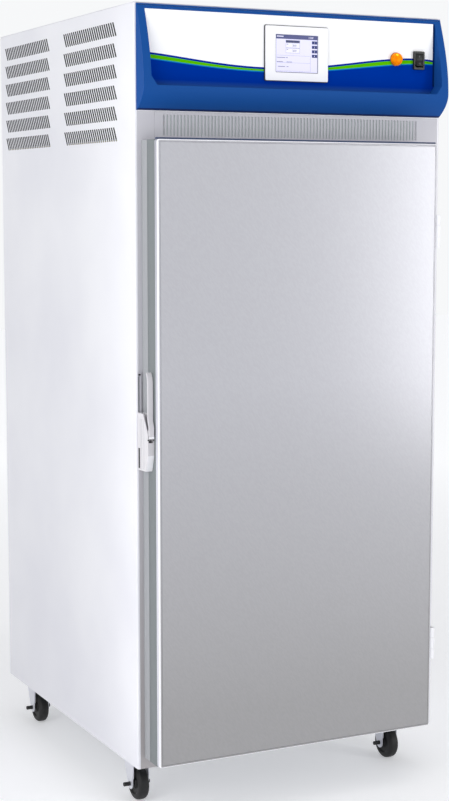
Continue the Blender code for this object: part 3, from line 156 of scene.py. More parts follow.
def noise(coat, scale, detail, stretch=(1, 1, 1), turn=0):
    """Noise, stretched along axes that are turned about Y by some degrees."""
    tree = coat.node_tree
    here, lay, texture = [tree.nodes.new("ShaderNode" + kind) for kind in ("TexCoord", "Mapping", "TexNoise")]
    lay.vector_type = "TEXTURE"
    lay.inputs["Scale"].default_value = stretch
    lay.inputs["Rotation"].default_value[1] = math.radians(turn)
    texture.inputs["Scale"].default_value = scale
    texture.inputs["Detail"].default_value = detail
    tree.links.new(here.outputs["Object"], lay.inputs["Vector"])
    tree.links.new(lay.outputs["Vector"], texture.inputs["Vector"])
    return texture.outputs[0]


def relief(coat, value, strength, depth):
    """Bump from a texture."""
    tree = coat.node_tree
    bump = tree.nodes.new("ShaderNodeBump")
    bump.inputs["Strength"].default_value = strength
    bump.inputs["Distance"].default_value = depth
    tree.links.new(value, bump.inputs["Height"])
    tree.links.new(bump.outputs["Normal"], socket(coat, "Normal"))


def tint(coat, value, dark, light, low=0.35, high=0.65):
    """Base colour between two shades."""
    colour = shades(coat.node_tree, value, (low, high), (shade(dark), shade(light)))
    coat.node_tree.links.new(colour, socket(coat, "Base Color"))


def span(tree, value, start, end, low, high):
    """A value moved from one range into another."""
    move = tree.nodes.new("ShaderNodeMapRange")
    for label, number in zip(("From Min", "From Max", "To Min", "To Max"), (start, end, low, high)):
        move.inputs[label].default_value = number
    tree.links.new(value, move.inputs["Value"])
    return move.outputs["Result"]


def polish(coat, value, low, high):
    """Roughness between two numbers."""
    tree = coat.node_tree
    tree.links.new(span(tree, value, 0.3, 0.7, low, high), socket(coat, "Roughness"))


def height_share(coat, low, high):
    """A value that climbs from 0 to 1 between two heights."""
    tree = coat.node_tree
    here = tree.nodes.new("ShaderNodeTexCoord")
    split = tree.nodes.new("ShaderNodeSeparateXYZ")
    tree.links.new(here.outputs["Object"], split.inputs["Vector"])
    return span(tree, split.outputs["Z"], low, high, 0, 1)


def deepened(coat, share, colour):
    """Paints shade: multiplies the base colour by a darker colour where a value is low."""
    tree = coat.node_tree
    base = socket(coat, "Base Color")
    product = tree.nodes.new("ShaderNodeVectorMath")
    product.operation = "MULTIPLY"
    product.inputs[0].default_value = base.default_value[:3]
    if base.links:
        tree.links.new(base.links[0].from_socket, product.inputs[0])
    tree.links.new(shades(tree, share, (0, 1), (shade(colour), (1, 1, 1))), product.inputs[1])
    tree.links.new(product.outputs["Vector"], base)


# %% [markdown]
# ## Paints
# White powder coat has a fine orange peel. The door has a hammered grey paint, whose metal
# flakes pull together into short slanting ridges while it dries. A noise stretched three times
# along a steep diagonal gives the same ridges. They are nearly all relief, so they show where a
# light glances off them. The grey is painted a little darker towards the floor, as painted shade.

# %% Paints
white_enamel = finish("white_enamel", "E8E8EE", 0.34, coat_weight=0.15)
peel = noise(white_enamel, 700, 1)
relief(white_enamel, peel, 0.12, 0.0004)
tint(white_enamel, noise(white_enamel, 2.5, 3), "E3E3EA", "ECECF1")
polish(white_enamel, peel, 0.3, 0.4)


def hammered(name, dark, light):
    """Hammered paint, with ridges that fall to the right."""
    coat = finish(name, light, 0.25, 0.25)
    ridges = noise(coat, 380, 0.5, (3.2, 1, 1), 56)
    relief(coat, ridges, 0.06, 0.0005)
    tint(coat, ridges, dark, light)
    polish(coat, ridges, 0.25, 0.265)
    return coat


door_grey = hammered("door_grey", "B7B7BD", "BABAC0")
# Painted shade: the door's grey darkens towards the floor.
deepened(door_grey, height_share(door_grey, 0.25, 1.0), "DEDDD8")
print("paints:", white_enamel.name, door_grey.name)

# %% [markdown]
# ## Trim, plastics and metals
# Moulded trim is nearly even, so only a fine grain breaks its gloss. Rolled steel shows long
# brush lines, zinc plate shows faint blotches, and printed film is smooth with a slight haze.


# %% Trim, plastics and metals
def moulded(name, colour, roughness, grain=900, depth=0.0002, **sockets):
    """Plastic or rubber with a fine grain."""
    coat = finish(name, colour, roughness, **sockets)
    spark = noise(coat, grain, 2)
    relief(coat, spark, 0.15, depth)
    polish(coat, spark, roughness - 0.05, roughness + 0.08)
    return coat


def metal(name, dark, light, roughness, scale, stretch):
    coat = finish(name, light, roughness, 1.0)
    marks = noise(coat, scale, 4, stretch)
    tint(coat, marks, dark, light)
    relief(coat, marks, 0.08, 0.0002)
    polish(coat, marks, roughness - 0.07, roughness + 0.1)
    return coat


frame_grey = moulded("frame_grey", "C5C4CB", 0.42, 700)
# Painted shade: the frame's grey darkens towards the floor.
deepened(frame_grey, height_share(frame_grey, 0.25, 1.0), "DEDAD5")
door_edge = moulded("door_edge", "D0D0D9", 0.36, 700)
# Painted shade: the door's pale edges darken towards the top.
deepened(door_edge, height_share(door_edge, 1.6, 0.8), "C6C6CA")
edge_band_and_shade = moulded("edge_band_and_shade", "777D7F", 0.5)
gasket_rubber = moulded("gasket_rubber", "A9ABAF", 0.6)
inner_grey_and_shade = moulded("inner_grey_and_shade", "A0A2A6", 0.42)
black_filter_and_shade = moulded("black_filter_and_shade", "0C0D0F", 0.75, 420, 0.002)
grille_cloth = moulded("grille_cloth", "C2C9CA", 0.7, 500, 0.001)
seal_and_gap_shade = moulded("seal_and_gap_shade", "2A3C62", 0.5)
black_plastic = moulded("black_plastic", "151617", 0.38)
black_paint = moulded("black_paint", "111213", 0.3, 300)
tyre_rubber = moulded("tyre_rubber", "0B0B0C", 0.55, 600, 0.0004)
foam = moulded("foam", "DCD3A8", 0.85, 350, 0.002)
white_trim_and_highlight = moulded("white_trim_and_highlight", "F5F5F9", 0.33)
latch_grey = moulded("latch_grey", "D6D4D8", 0.36)
mark_grey = moulded("mark_grey", "77787A", 0.5)
bright_plate = moulded("bright_plate", "DADBE3", 0.34, 300, 0.0003, metallic=0.3)
zinc = metal("zinc", "A8ABB0", "CED0D4", 0.34, 60, (1, 1, 1))
steel = metal("steel", "B3B3B0", "D2D2CE", 0.3, 260, (40, 1, 1))
copper = metal("copper", "96522F", "C57A4B", 0.32, 90, (1, 1, 1))
print("trim:", edge_band_and_shade.name, gasket_rubber.name, black_filter_and_shade.name, steel.name)

# %% [markdown]
# ## How a piece is made
# A piece starts as a bmesh, which the mesh operators shape. Then it becomes an object that rides
# on a body of the cabinet. Sharp folds are marked by angle, so that round forms shade smoothly
# and flat ones stay crisp.


# %% Tools for pieces
def piece(name, shape, coats, body="cabinet", instead_of=None, sharp=35):
    """Turns a bmesh into an object that rides on a body."""
    bmesh.ops.recalc_face_normals(shape, faces=shape.faces)
    mesh = bpy.data.meshes.new(name)
    shape.to_mesh(mesh)
    shape.free()
    mesh.shade_smooth()
    mesh.set_sharp_from_angle(angle=math.radians(sharp))
    made = bpy.data.objects.new(name, mesh)
    bpy.context.scene.collection.objects.link(made)
    for coat in coats if isinstance(coats, list) else [coats]:
        mesh.materials.append(coat)
    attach(made, body)
    if instead_of:
        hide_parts(instead_of)
    print(f"{name}: {len(mesh.polygons)} faces on {body}")
    return made


def ease(made, width, steps=2):
    """Rounds the sharp edges of a finished piece."""
    soft = made.modifiers.new("eased_edges", "BEVEL")
    soft.width, soft.segments, soft.limit_method = width, steps, "ANGLE"
    soft.angle_limit = math.radians(40)
    soft.harden_normals = True


def dress(name, coat, width=0.0):
    """Gives a solid its finish, and eases its edges where a width is given."""
    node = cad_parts[name]
    if not node.material_slots:
        node.data.materials.append(coat)
    for place in node.material_slots:
        place.material = coat
    if width:
        node.modifiers.new("joined_corners", "WELD").merge_threshold = 1e-5
        ease(node, width)


def corners_of(made):
    return [part for part in made["geom"] if isinstance(part, bmesh.types.BMVert)]


def soften(shape, parts, width, steps=3, affect="EDGES"):
    """Rounds some edges or corners of a bmesh."""
    bmesh.ops.bevel(shape, geom=list(parts), offset=width, offset_type="OFFSET", segments=steps,
        profile=0.5, affect=affect, clamp_overlap=True, material=-1)


def block(low, high, round_=0.0, steps=2):
    """A box between two corners, with its edges rounded."""
    shape = bmesh.new()
    bmesh.ops.create_cube(shape, size=1)
    low, high = Vector(low), Vector(high)
    bmesh.ops.scale(shape, vec=high - low, verts=shape.verts)
    bmesh.ops.translate(shape, vec=(low + high) / 2, verts=shape.verts)
    if round_:
        soften(shape, shape.edges, round_, steps)
    return shape


def slab(corners, push, round_=0.0, steps=5):
    """A flat outline, its corners rounded, pushed out to a solid."""
    shape = bmesh.new()
    shape.faces.new([shape.verts.new(corner) for corner in corners])
    if round_:
        soften(shape, shape.verts, round_, steps, "VERTICES")
    moved = corners_of(bmesh.ops.extrude_face_region(shape, geom=shape.faces[:]))
    bmesh.ops.translate(shape, vec=push, verts=moved)
    bmesh.ops.recalc_face_normals(shape, faces=shape.faces)
    return shape


def add(shape, extra, coat=0):
    """Puts one bmesh into another, with the number of its finish."""
    for face in extra.faces:
        face.material_index = coat
    carrier = bpy.data.meshes.new("carrier")
    extra.to_mesh(carrier)
    extra.free()
    shape.from_mesh(carrier)
    bpy.data.meshes.remove(carrier)
    return shape


def repeated(shape, step, count):
    """Copies all that a bmesh holds, at equal steps."""
    first = shape.verts[:] + shape.edges[:] + shape.faces[:]
    for i in range(1, count):
        made = bmesh.ops.duplicate(shape, geom=first)
        bmesh.ops.translate(shape, vec=Vector(step) * i, verts=corners_of(made))
    return shape


def carved(shape, cutter):
    """One bmesh less another, by an exact Boolean."""
    things = []
    for label, source in (("blank", shape), ("cutter", cutter)):
        mesh = bpy.data.meshes.new(label)
        source.to_mesh(mesh)
        source.free()
        things.append(bpy.data.objects.new(label, mesh))
        bpy.context.scene.collection.objects.link(things[-1])
    cut = things[0].modifiers.new("cut", "BOOLEAN")
    cut.operation, cut.solver, cut.object = "DIFFERENCE", "EXACT", things[1]
    depsgraph = bpy.context.evaluated_depsgraph_get()
    result = bmesh.new()
    result.from_object(things[0], depsgraph)
    for thing in things:
        bpy.data.objects.remove(thing)
    return result


# %% [markdown]
# ## Floor
# One pale sheet, far larger than the picture, so that its edge never shows. It glows faintly,
# more with distance, as a lit backdrop does, and so runs into the pale background.

# %% The floor
ground = bmesh.new()
bmesh.ops.create_grid(ground, x_segments=2, y_segments=2, size=14)
floor_mesh = bpy.data.meshes.new("studio_floor")
ground.to_mesh(floor_mesh)
ground.free()
floor = bpy.data.objects.new("studio_floor", floor_mesh)
paper = moulded("floor_paper", "F0F0F2", 0.7, emission_color=(0.97, 0.98, 1, 1))
tree = paper.node_tree
here = tree.nodes.new("ShaderNodeTexCoord")
reach = tree.nodes.new("ShaderNodeVectorMath")
reach.operation = "LENGTH"
tree.links.new(here.outputs["Object"], reach.inputs[0])
glow = span(tree, reach.outputs["Value"], 1.0, 5.0, 0.34, 0.62)
tree.links.new(glow, socket(paper, "Emission Strength"))
floor_mesh.materials.append(paper)
bpy.context.scene.collection.objects.link(floor)

# %% [markdown]
# ## Side panels
# Each side is one steel sheet, folded round the front corner with a small radius. Air for the
# machine bay enters through six rows of slanting slots in two columns. The slots are cut with
# one Boolean: a single slot is sheared, then copied along the row, to the second column and down.
# The filter behind the slots is dark, and the slots' cut walls are painted black as painted shade.

# %% Side panels
SHEET = 0.0012
FOLD = 0.005
SLOT_WIDE, SLOT_HIGH = 0.0074, 0.0315
SLOT_LEAN = 0.0175
LOUVRES_FROM, MAT_FOOT = 1.5, 1.5443
roof = cad_high.z


def upright(shape, x, y):
    """The vertical edges of a bmesh at one place."""
    near = lambda vert: abs(vert.co.x - x) < 1e-6 and abs(vert.co.y - y) < 1e-6
    return [edge for edge in shape.edges if near(edge.verts[0]) and near(edge.verts[1])]


def louvre_slots(x, front):
    """Cutters for one side: 25 slots, two columns, six rows."""
    slot = block((x - 0.004, 0, -SLOT_HIGH), (x + 0.004, SLOT_WIDE, 0))
    soften(slot, [e for e in slot.edges if abs(e.verts[0].co.x - e.verts[1].co.x) > 0.001], 0.0012, 2)
    lean = Matrix.Identity(4)
    lean[1][2] = SLOT_LEAN / SLOT_HIGH
    bmesh.ops.transform(slot, matrix=lean, verts=slot.verts)
    bmesh.ops.translate(slot, vec=(0, front + 0.1128, roof - 0.0336), verts=slot.verts)
    repeated(slot, (0, 0.0127, 0), 25)
    repeated(slot, (0, 0.4245, 0), 2)
    return repeated(slot, (0, 0, -0.04635), 6)


for side, inward in (("left", 1), ("right", -1)):
    low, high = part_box(f"{side}_side_panel")
    outer = low.x if side == "left" else high.x
    lip, inner = outer + inward * (high.x - low.x), outer + inward * SHEET
    plan = [(inner, high.y), (outer, high.y), (outer, low.y), (lip, low.y),
        (lip, low.y + SHEET), (inner, low.y + SHEET)]
    sheet = slab([(x, y, low.z) for x, y in plan], (0, 0, high.z - low.z))
    soften(sheet, upright(sheet, outer, low.y), FOLD, 6)
    soften(sheet, upright(sheet, inner, low.y + SHEET), FOLD - SHEET, 6)
    sheet = carved(sheet, louvre_slots(outer, low.y))
    sheet.normal_update()
    for face in sheet.faces:
        at = face.calc_center_median()
        in_bay = low.y + 0.1 < at.y < high.y - 0.01 and LOUVRES_FROM < at.z < high.z - 0.01
        # Painted shade: the slots' cut walls take the black finish.
        if abs(face.normal.x) < 0.5 and in_bay:
            face.material_index = 1
    piece(f"{side}_side_sheet", sheet, [white_enamel, black_filter_and_shade], instead_of=f"{side}_side_panel")
    mat_x = outer + inward * 0.0085
    mat = block((mat_x - 0.0012, low.y + 0.06, MAT_FOOT), (mat_x + 0.0012, high.y - 0.02, roof - 0.026),
        0.0006, 1)
    piece(f"{side}_louvre_filter", mat, black_filter_and_shade)

# %% [markdown]
# ## Roof, back and face frame
# These sheets are right as solids, so they keep their meshes. A weld joins their loose triangles
# and a small bevel gives each fold the soft edge that paint leaves. The rear sheet gets screws.

# %% Roof, back and face frame
dress("top_cover", white_enamel, 0.0009)
dress("back_panel", white_enamel, 0.0003)
dress("front_frame", frame_grey, 0.0003)
dress("base_pan", inner_grey_and_shade, 0.0005)


def turned(profile, centre, axis, steps=40, ring=False):
    """A profile of radius and height, spun about an axis."""
    shape = bmesh.new()
    points = [shape.verts.new((radius, 0, height)) for radius, height in profile]
    lines = [shape.edges.new(pair) for pair in zip(points, points[1:])]
    if ring:
        lines.append(shape.edges.new((points[-1], points[0])))
    bmesh.ops.spin(shape, geom=points + lines, cent=(0, 0, 0), axis=(0, 0, 1), angle=math.tau,
        steps=steps, use_merge=True, use_duplicate=False)
    bmesh.ops.remove_doubles(shape, verts=shape.verts, dist=1e-6)
    bmesh.ops.recalc_face_normals(shape, faces=shape.faces)
    lie = Matrix.Translation(centre) @ Vector(axis).to_track_quat("Z", "Y").to_matrix().to_4x4()
    bmesh.ops.transform(shape, matrix=lie, verts=shape.verts)
    return shape


def rod(radius, start, end, centre, axis, steps=40):
    """A round bar that runs between two distances from its centre."""
    return turned([(0, start), (radius, start), (radius, end), (0, end)], centre, axis, steps)


def screw(centre, axis, radius=0.0035, height=0.0018):
    """A pan-head screw with a socket in its face."""
    return turned([(0, height * 0.45), (radius * 0.45, height * 0.45), (radius * 0.45, height * 0.95),
        (radius * 0.75, height), (radius, height * 0.5), (radius, -height), (0, -height)], centre, axis, 16)


low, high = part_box("back_panel")
screws = bmesh.new()
for x in (low.x + 0.014, 0, high.x - 0.014):
    for i in range(7):
        add(screws, screw((x, high.y, low.z + 0.03 + i * (high.z - low.z - 0.06) / 6), (0, 1, 0)))
piece("back_panel_screws", screws, zinc)
low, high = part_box("cable_gland")
centre = (low + high) / 2
gland = turned([(0.0039, 0.013), (0.0065, 0.0139), (0.0085, 0.0125), (0.0088, 0.0088), (0.011, 0.0084),
    (0.011, 0.0004), (0.0077, 0.0003), (0.0077, -0.012), (0.0039, -0.012)],
    (centre.x, high.y - 0.014, centre.z), (0, 1, 0), 36, ring=True)
piece("cable_gland_nut", gland, black_plastic, instead_of="cable_gland", sharp=25)

# %% [markdown]
# ## Air grille
# The grille above the door is one moulded strip with a close row of upright slots. They have
# round ends, so the cutter is a bar whose four long edges are rounded. A pale filter cloth lies
# behind it. A navy strip on the door's upper edge stands for its seal and for painted shade in the
# gap above the door, and a thin white strip under the hood is a painted highlight of its lower edge.

# %% Air grille
low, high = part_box("grille_panel")
strip = block(low, high)
slot = block((-0.0019, low.y - 0.003, low.z + 0.004), (0.0019, high.y + 0.003, high.z - 0.007))
soften(slot, [e for e in slot.edges if abs(e.verts[0].co.y - e.verts[1].co.y) > 0.001], 0.00185, 3)
SLOTS = 79
SLOT_PITCH = 0.0084
bmesh.ops.translate(slot, vec=((low.x + high.x) / 2 - (SLOTS - 1) * SLOT_PITCH / 2, 0, 0), verts=slot.verts)
grille = piece("air_grille", carved(strip, repeated(slot, (SLOT_PITCH, 0, 0), SLOTS)), frame_grey,
    instead_of="grille_panel")
ease(grille, 0.0004, 1)
CLOTH_Y = -0.4053
cloth = block((low.x + 0.0232, CLOTH_Y, low.z + 0.0045), (high.x - 0.0232, CLOTH_Y + 0.0008, high.z - 0.0075),
    0.0003, 1)
piece("grille_filter", cloth, grille_cloth)
frame_low, frame_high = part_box("front_frame")
door_low, door_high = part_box("door_skin")
hood_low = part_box("control_hood")[0]
# The navy strip on the door's top stands for its seal and for painted shade of the gap above it.
piece("head_seal_shade", block((door_low.x + 0.001, door_high.y - 0.008, door_high.z + 0.0002),
    (door_high.x - 0.001, door_high.y - 0.001, door_high.z + 0.0036), 0.0003, 1), seal_and_gap_shade, "door")
# Painted highlight: a thin white strip along the hood's lower edge.
piece("hood_edge_highlight", block((frame_low.x, frame_low.y - 0.003, hood_low.z - 0.0018),
    (frame_high.x, frame_low.y - 0.0002, hood_low.z - 0.0002), 0.0004, 1), white_trim_and_highlight)

# %% [markdown]
# ## Control hood
# The hood is moulded in satin blue plastic. Seen from the side it is a long bow that turns
# under at a shoulder, so the outline is computed once and pushed across the cabinet. A
# recess with slanted lower corners is cut into it, and the back is hollow behind a thin wall.
# Its lowest edge is painted navy, as painted shade where the bow turns under.

# %% Control hood
hood_blue = moulded("hood_blue", "164C94", 0.55, 500, 0.0003, specular_ior_level=0.08)
hood_edge_shade = moulded("hood_edge_shade", "06265E", 0.5, 500, 0.0003, specular_ior_level=0.1)
low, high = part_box("control_hood")
BULGE = high.y - low.y
LIP = 0.003
SHOULDER = 0.052
WALL = 0.003
BOW_STEPS = 26


def hood_depth(height):
    """How far the hood stands out at a height above its lower edge."""
    if height > SHOULDER:
        share = math.cos((height - SHOULDER) / (high.z - low.z - SHOULDER) * math.pi / 2)
    else:
        share = max(math.cos((1 - height / SHOULDER) * math.pi / 2), 0) ** 0.85
    return LIP + (BULGE - LIP) * share


def bow(x, inset, start, end):
    """The hood's face between two heights, set in from its skin."""
    heights = [start + (end - start) * i / BOW_STEPS for i in range(BOW_STEPS + 1)]
    return [(x, high.y - max(hood_depth(h) - inset, LIP / 2), low.z + h) for h in heights]


tall = high.z - low.z
side_view = bow(low.x, 0, 0, SHOULDER)[:-1] + bow(low.x, 0, SHOULDER, tall)
side_view += [(low.x, high.y, high.z), (low.x, high.y, low.z)]
hood = slab(side_view, (high.x - low.x, 0, 0))
floor_y = high.y - 0.0073
recess_low, recess_high = low.z + SHOULDER, high.z - 0.0112
r0, r1 = low.x + 0.018, high.x - 0.018
CHAMFER_X, CHAMFER_Z = 0.014, 0.02
recess = [(r0 + CHAMFER_X, recess_low), (r1 - CHAMFER_X, recess_low), (r1, recess_low + CHAMFER_Z),
    (r1, recess_high), (r0, recess_high), (r0, recess_low + CHAMFER_Z)]
hood = carved(hood, slab([(x, low.y - 0.02, z) for x, z in recess], (0, floor_y - low.y + 0.02, 0)))
hood = carved(hood, block((low.x + WALL, floor_y + WALL, low.z + WALL),
    (high.x - WALL, high.y + 0.01, high.z - WALL)))
ledge = bow(low.x + WALL, WALL, WALL, SHOULDER - WALL)
ledge += [(low.x + WALL, high.y + 0.005, recess_low - WALL), (low.x + WALL, high.y + 0.005, low.z + WALL)]
hood = carved(hood, slab(ledge, (high.x - low.x - 2 * WALL, 0, 0)))
screen_low, screen_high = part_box("display_screen")
switch_low, switch_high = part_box("switch_housing")
lamp_low, lamp_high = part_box("indicator_lamp")
GAP = 0.0003
WELL = Vector((0.013, 0, 0.0175))
STEM = 0.011
switch_at = (switch_low + switch_high) / 2
lamp_x, lamp_z = (lamp_low.x + lamp_high.x) / 2, (lamp_low.z + lamp_high.z) / 2


def control_holes(play):
    """Cutters for the screen, the switch and the lamp's stem."""
    wide, deep = Vector((play, 0.01, play)), Vector((GAP, 0.03, GAP))
    holes = block(screen_low - wide, screen_high + wide)
    add(holes, block(switch_at - WELL - deep, switch_at + WELL + deep))
    return add(holes, rod(STEM + GAP, -0.02, 0.03, (lamp_x, floor_y, lamp_z), (0, -1, 0)))


hood = carved(hood, control_holes(GAP))
# Painted shade: the faces of the lowest 4.2 mm take the navy finish.
for face in hood.faces:
    face.material_index = int(face.calc_center_median().z < low.z + 0.0042)
hood = piece("blue_hood", hood, [hood_blue, hood_edge_shade], instead_of="control_hood")
ease(hood, 0.0016, 3)

# %% [markdown]
# ## Printed overlay
# A thin film covers the recess: white above, deep blue below, and a swept green stripe between,
# with a thin line over it and a light blue border under it. The stripe is two gentle curves, so
# the rows of a grid are moved onto them and each row of faces takes its own ink. The deep blue
# fades to the hood's blue along the lower edge. A navy strip at the film's right end is painted
# shade along the recess's right edge.

# %% Printed overlay
inks = [moulded(name, code, 0.5, 1500, 0.00005, specular_ior_level=0.0) for name, code in
    (("ink_blue", "00329A"), ("ink_sky", "1478B8"), ("ink_green", "58B800"),
    ("ink_line", "0A2A9A"), ("film_white", "FDFDFF"), ("film_edge_shade", "06265E"))]
low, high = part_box("graphic_panel")
FADE_H = 0.015
BORDER, LINE = 0.0024, 0.0046
film_top = recess_high - GAP
tint(inks[0], height_share(inks[0], low.z, low.z + FADE_H), "2A5496", "00329A", 0, 1)


def curve(x, *terms):
    return sum(term * x ** power for power, term in enumerate(terms))


def row_height(row, x):
    """The height of each line of the print at a place along the film."""
    green_top = curve(x, 1.70352, 0.06094, 0.3909, -0.35938, -1.5019)
    green_low = curve(x, 1.69927, 0.04941, 0.29999, -0.24337, -0.95179)
    slant = max(0, abs(x) - (high.x - CHAMFER_X)) / CHAMFER_X * CHAMFER_Z
    return (low.z + slant, green_low - BORDER, green_low, green_top, green_top + LINE, film_top)[row]


film = bmesh.new()
COLUMNS = 64
bmesh.ops.create_grid(film, x_segments=COLUMNS, y_segments=5, size=1)
rows = sorted({round(vert.co.y, 3) for vert in film.verts})
columns = sorted({round(vert.co.x, 3) for vert in film.verts})
for face in film.faces:
    face.material_index = min(range(5), key=lambda i: abs(rows[i] + 0.2 - face.calc_center_median().y))
for vert in film.verts:
    at = columns.index(round(vert.co.x, 3))
    row = rows.index(round(vert.co.y, 3))
    share = (at - 1) / (len(columns) - 3)
    x = low.x + CHAMFER_X + share * (high.x - low.x - 2 * CHAMFER_X)
    x = low.x if at == 0 else high.x if at == len(columns) - 1 else x
    vert.co = (x, low.y, row_height(row, x))
back = corners_of(bmesh.ops.extrude_face_region(film, geom=film.faces[:]))
bmesh.ops.translate(film, vec=(0, high.y - low.y, 0), verts=back)
bmesh.ops.recalc_face_normals(film, faces=film.faces)
film = carved(film, control_holes(0))
# Painted shade: a navy strip along the recess's right edge.
add(film, block((high.x - 0.0045, low.y - 0.0003, low.z + CHAMFER_Z), (high.x, low.y, film_top)), 5)
piece("printed_film", film, inks, instead_of="graphic_panel")

# %% [markdown]
# ## Display
# The display has a white frame with a thin dark border, and a pale screen a little behind it.
# Its page is generic: bars, boxes, keys and plain numbers, each a thin plate on the glass.
# Numbers are set as text, made a mesh, and then put in place.

# %% Display
low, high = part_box("display_bezel")
bezel_dark = moulded("bezel_dark", "26282D", 0.4)


def panel(x0, z0, x1, z1, front, back, round_):
    """An upright plate with rounded corners."""
    return slab([(x0, front, z0), (x1, front, z0), (x1, front, z1), (x0, front, z1)],
        (0, back - front, 0), round_)


SCREEN_WIDE, SCREEN_TALL = 0.109, 0.084
middle = (low + high) / 2
glass_x, glass_top = middle.x - SCREEN_WIDE / 2, middle.z + SCREEN_TALL / 2
window = (glass_x - GAP, glass_top - SCREEN_TALL - GAP, glass_x + SCREEN_WIDE + GAP, glass_top + GAP)
RIM = 0.0017
bezel = carved(panel(low.x + RIM, low.z + RIM, high.x - RIM, high.z - RIM, low.y, high.y - 0.0021, 0.003),
    panel(*window, low.y - 0.01, high.y + 0.01, 0.0012))
rim = carved(panel(low.x, low.z, high.x, high.z, high.y - 0.002, high.y, 0.004),
    panel(*window, low.y - 0.01, high.y + 0.01, 0.0012))
bezel = piece("display_frame", add(bezel, rim, 1), [white_trim_and_highlight, bezel_dark], instead_of="display_bezel")
ease(bezel, 0.0007, 3)

page = [moulded("screen_glass", "D6D4F0", 0.12, 60, 0.00002, coat_weight=1.0,
    emission_color=(*shade("D8D6F4"), 1), emission_strength=0.25)]
for name, code in (("slate", "4E5280"), ("navy", "2A3470"), ("white", "E4E3F8"), ("text", "3E4468")):
    page.append(moulded("page_" + name, code, 0.2, depth=0.00002, emission_color=(*shade(code), 1),
        emission_strength=0.15))
SLATE, NAVY, WHITE, TEXT = 1, 2, 3, 4
glass_y = screen_low.y


def on_page(shape, left, top, right, bottom, coat, rise=0.00008):
    """A plate on the screen, placed in millimetres from its upper left corner."""
    add(shape, block((glass_x + left / 1000, glass_y - rise, glass_top - bottom / 1000),
        (glass_x + right / 1000, glass_y + 0.0001, glass_top - top / 1000)), coat)


def written(shape, text, size, left, base, coat, rise=0.00016):
    """Plain numbers on the screen."""
    type_ = bpy.data.curves.new("figures", "FONT")
    type_.body, type_.size, type_.extrude = text, size / 1000, 0.00004
    line = bpy.data.objects.new("figures", type_)
    bpy.context.scene.collection.objects.link(line)
    depsgraph = bpy.context.evaluated_depsgraph_get()
    cast = bpy.data.meshes.new_from_object(line.evaluated_get(depsgraph))
    flat = bmesh.new()
    flat.from_mesh(cast)
    bpy.data.objects.remove(line)
    bpy.data.meshes.remove(cast)
    stand = Matrix.Translation((glass_x + left / 1000, glass_y - rise, glass_top - base / 1000))
    bmesh.ops.transform(flat, matrix=stand @ Matrix.Rotation(math.pi / 2, 4, "X"), verts=flat.verts)
    add(shape, flat, coat)


screen = block((glass_x, glass_y, glass_top - SCREEN_TALL),
    (glass_x + SCREEN_WIDE, glass_y + 0.006, glass_top))
add(screen, block((screen_low.x, high.y + GAP, screen_low.z), screen_high, 0.002), 4)
on_page(screen, 0, 0, 109, 9.5, SLATE)
for left, top, right, bottom in ((0, 0, 0.9, 84), (108, 0, 109, 84), (0, 83, 109, 84)):
    on_page(screen, left, top, right, bottom, TEXT, 0.0003)
on_page(screen, 26, 12, 62, 17.5, TEXT)
for top in (18, 29.5):
    on_page(screen, 26, top, 62, top + 11, SLATE, 0.00006)
    on_page(screen, 26.4, top + 0.4, 61.6, top + 10.6, WHITE)
for i in range(4):
    on_page(screen, 93.5, 12 + 10 * i, 107.5, 19 + 10 * i, NAVY)
    written(screen, str(i + 1), 5, 99, 17.2 + 10 * i, WHITE)
for top in (46, 62, 80.6):
    on_page(screen, 3, top, 90, top + 0.3, SLATE)
on_page(screen, 89.7, 46, 90, 80.9, SLATE)
for left, top, width in ((28, 20.5, 4), (28, 32, 4), (3, 50.5, 22), (27, 50.5, 4), (3, 60, 16),
        (28, 60, 14), (6, 70.5, 18), (28, 70.5, 5)):
    on_page(screen, left, top, left + width, top + 1.1, SLATE, 0.00014)
on_page(screen, 3, 3, 20, 5, WHITE, 0.00014)
for base in (25.6, 37.2):
    written(screen, "20.0", 6, 43, base, TEXT)
written(screen, "12:00", 6, 84, 7, WHITE)
piece("screen_page", screen, page, instead_of="display_screen")

# %% [markdown]
# ## Lamp and switch
# The lamp is a turned dome of amber plastic on a thin ring, with a painted highlight: a bright
# yellow patch near the top of the dome. The switch is a black frame with a rocker whose lower end stands out
# at rest.
# Its two marks are thin inlays that move with the rocker.

# %% Lamp and switch
amber = moulded("amber_lens", "FF9600", 0.3, 160, 0.0006, specular_ior_level=0.05,
    emission_color=(*shade("FF8A00"), 1), emission_strength=0.2)
tint(amber, noise(amber, 130, 1), "DC7000", "F08C00", 0.4, 0.6)
amber_highlight = moulded("amber_highlight", "FFD820", 0.3, 160, specular_ior_level=0.1,
    emission_color=(*shade("FFD820"), 1), emission_strength=0.3)
amber_ring = moulded("amber_ring", "9A5A28", 0.4)
back_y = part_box("graphic_panel")[0].y - GAP
BULB = (lamp_high.x - lamp_low.x) / 2 - 0.0009
dome = [(BULB * math.cos(a), 0.004 + 0.013 * math.sin(a)) for a in (math.pi / 2 * i / 14 for i in range(14))]
lamp = turned([(0, -0.024), (STEM, -0.024), (STEM, 0), (BULB, 0), *dome, (0, 0.017)],
    (lamp_x, back_y, lamp_z), (0, -1, 0), 48)
collar = [(0.0001, 0.0001), (0.0009, 0.0001), (0.0009, 0.0018), (0.0005, 0.0024), (0.0001, 0.0024)]
# Painted highlight: faces near the top of the dome take the bright yellow finish.
highlight_at = Vector((lamp_x - 0.004, lamp_z + 0.0093))
for face in lamp.faces:
    at = face.calc_center_median()
    if at.y < back_y and (at.xz - highlight_at).length < 0.0026:
        face.material_index = 2
collar = turned([(BULB + out, up) for out, up in collar], (lamp_x, back_y, lamp_z), (0, -1, 0), 48, ring=True)
add(lamp, collar, 1)
piece("pilot_lamp", lamp, [amber, amber_ring, amber_highlight], instead_of="indicator_lamp")

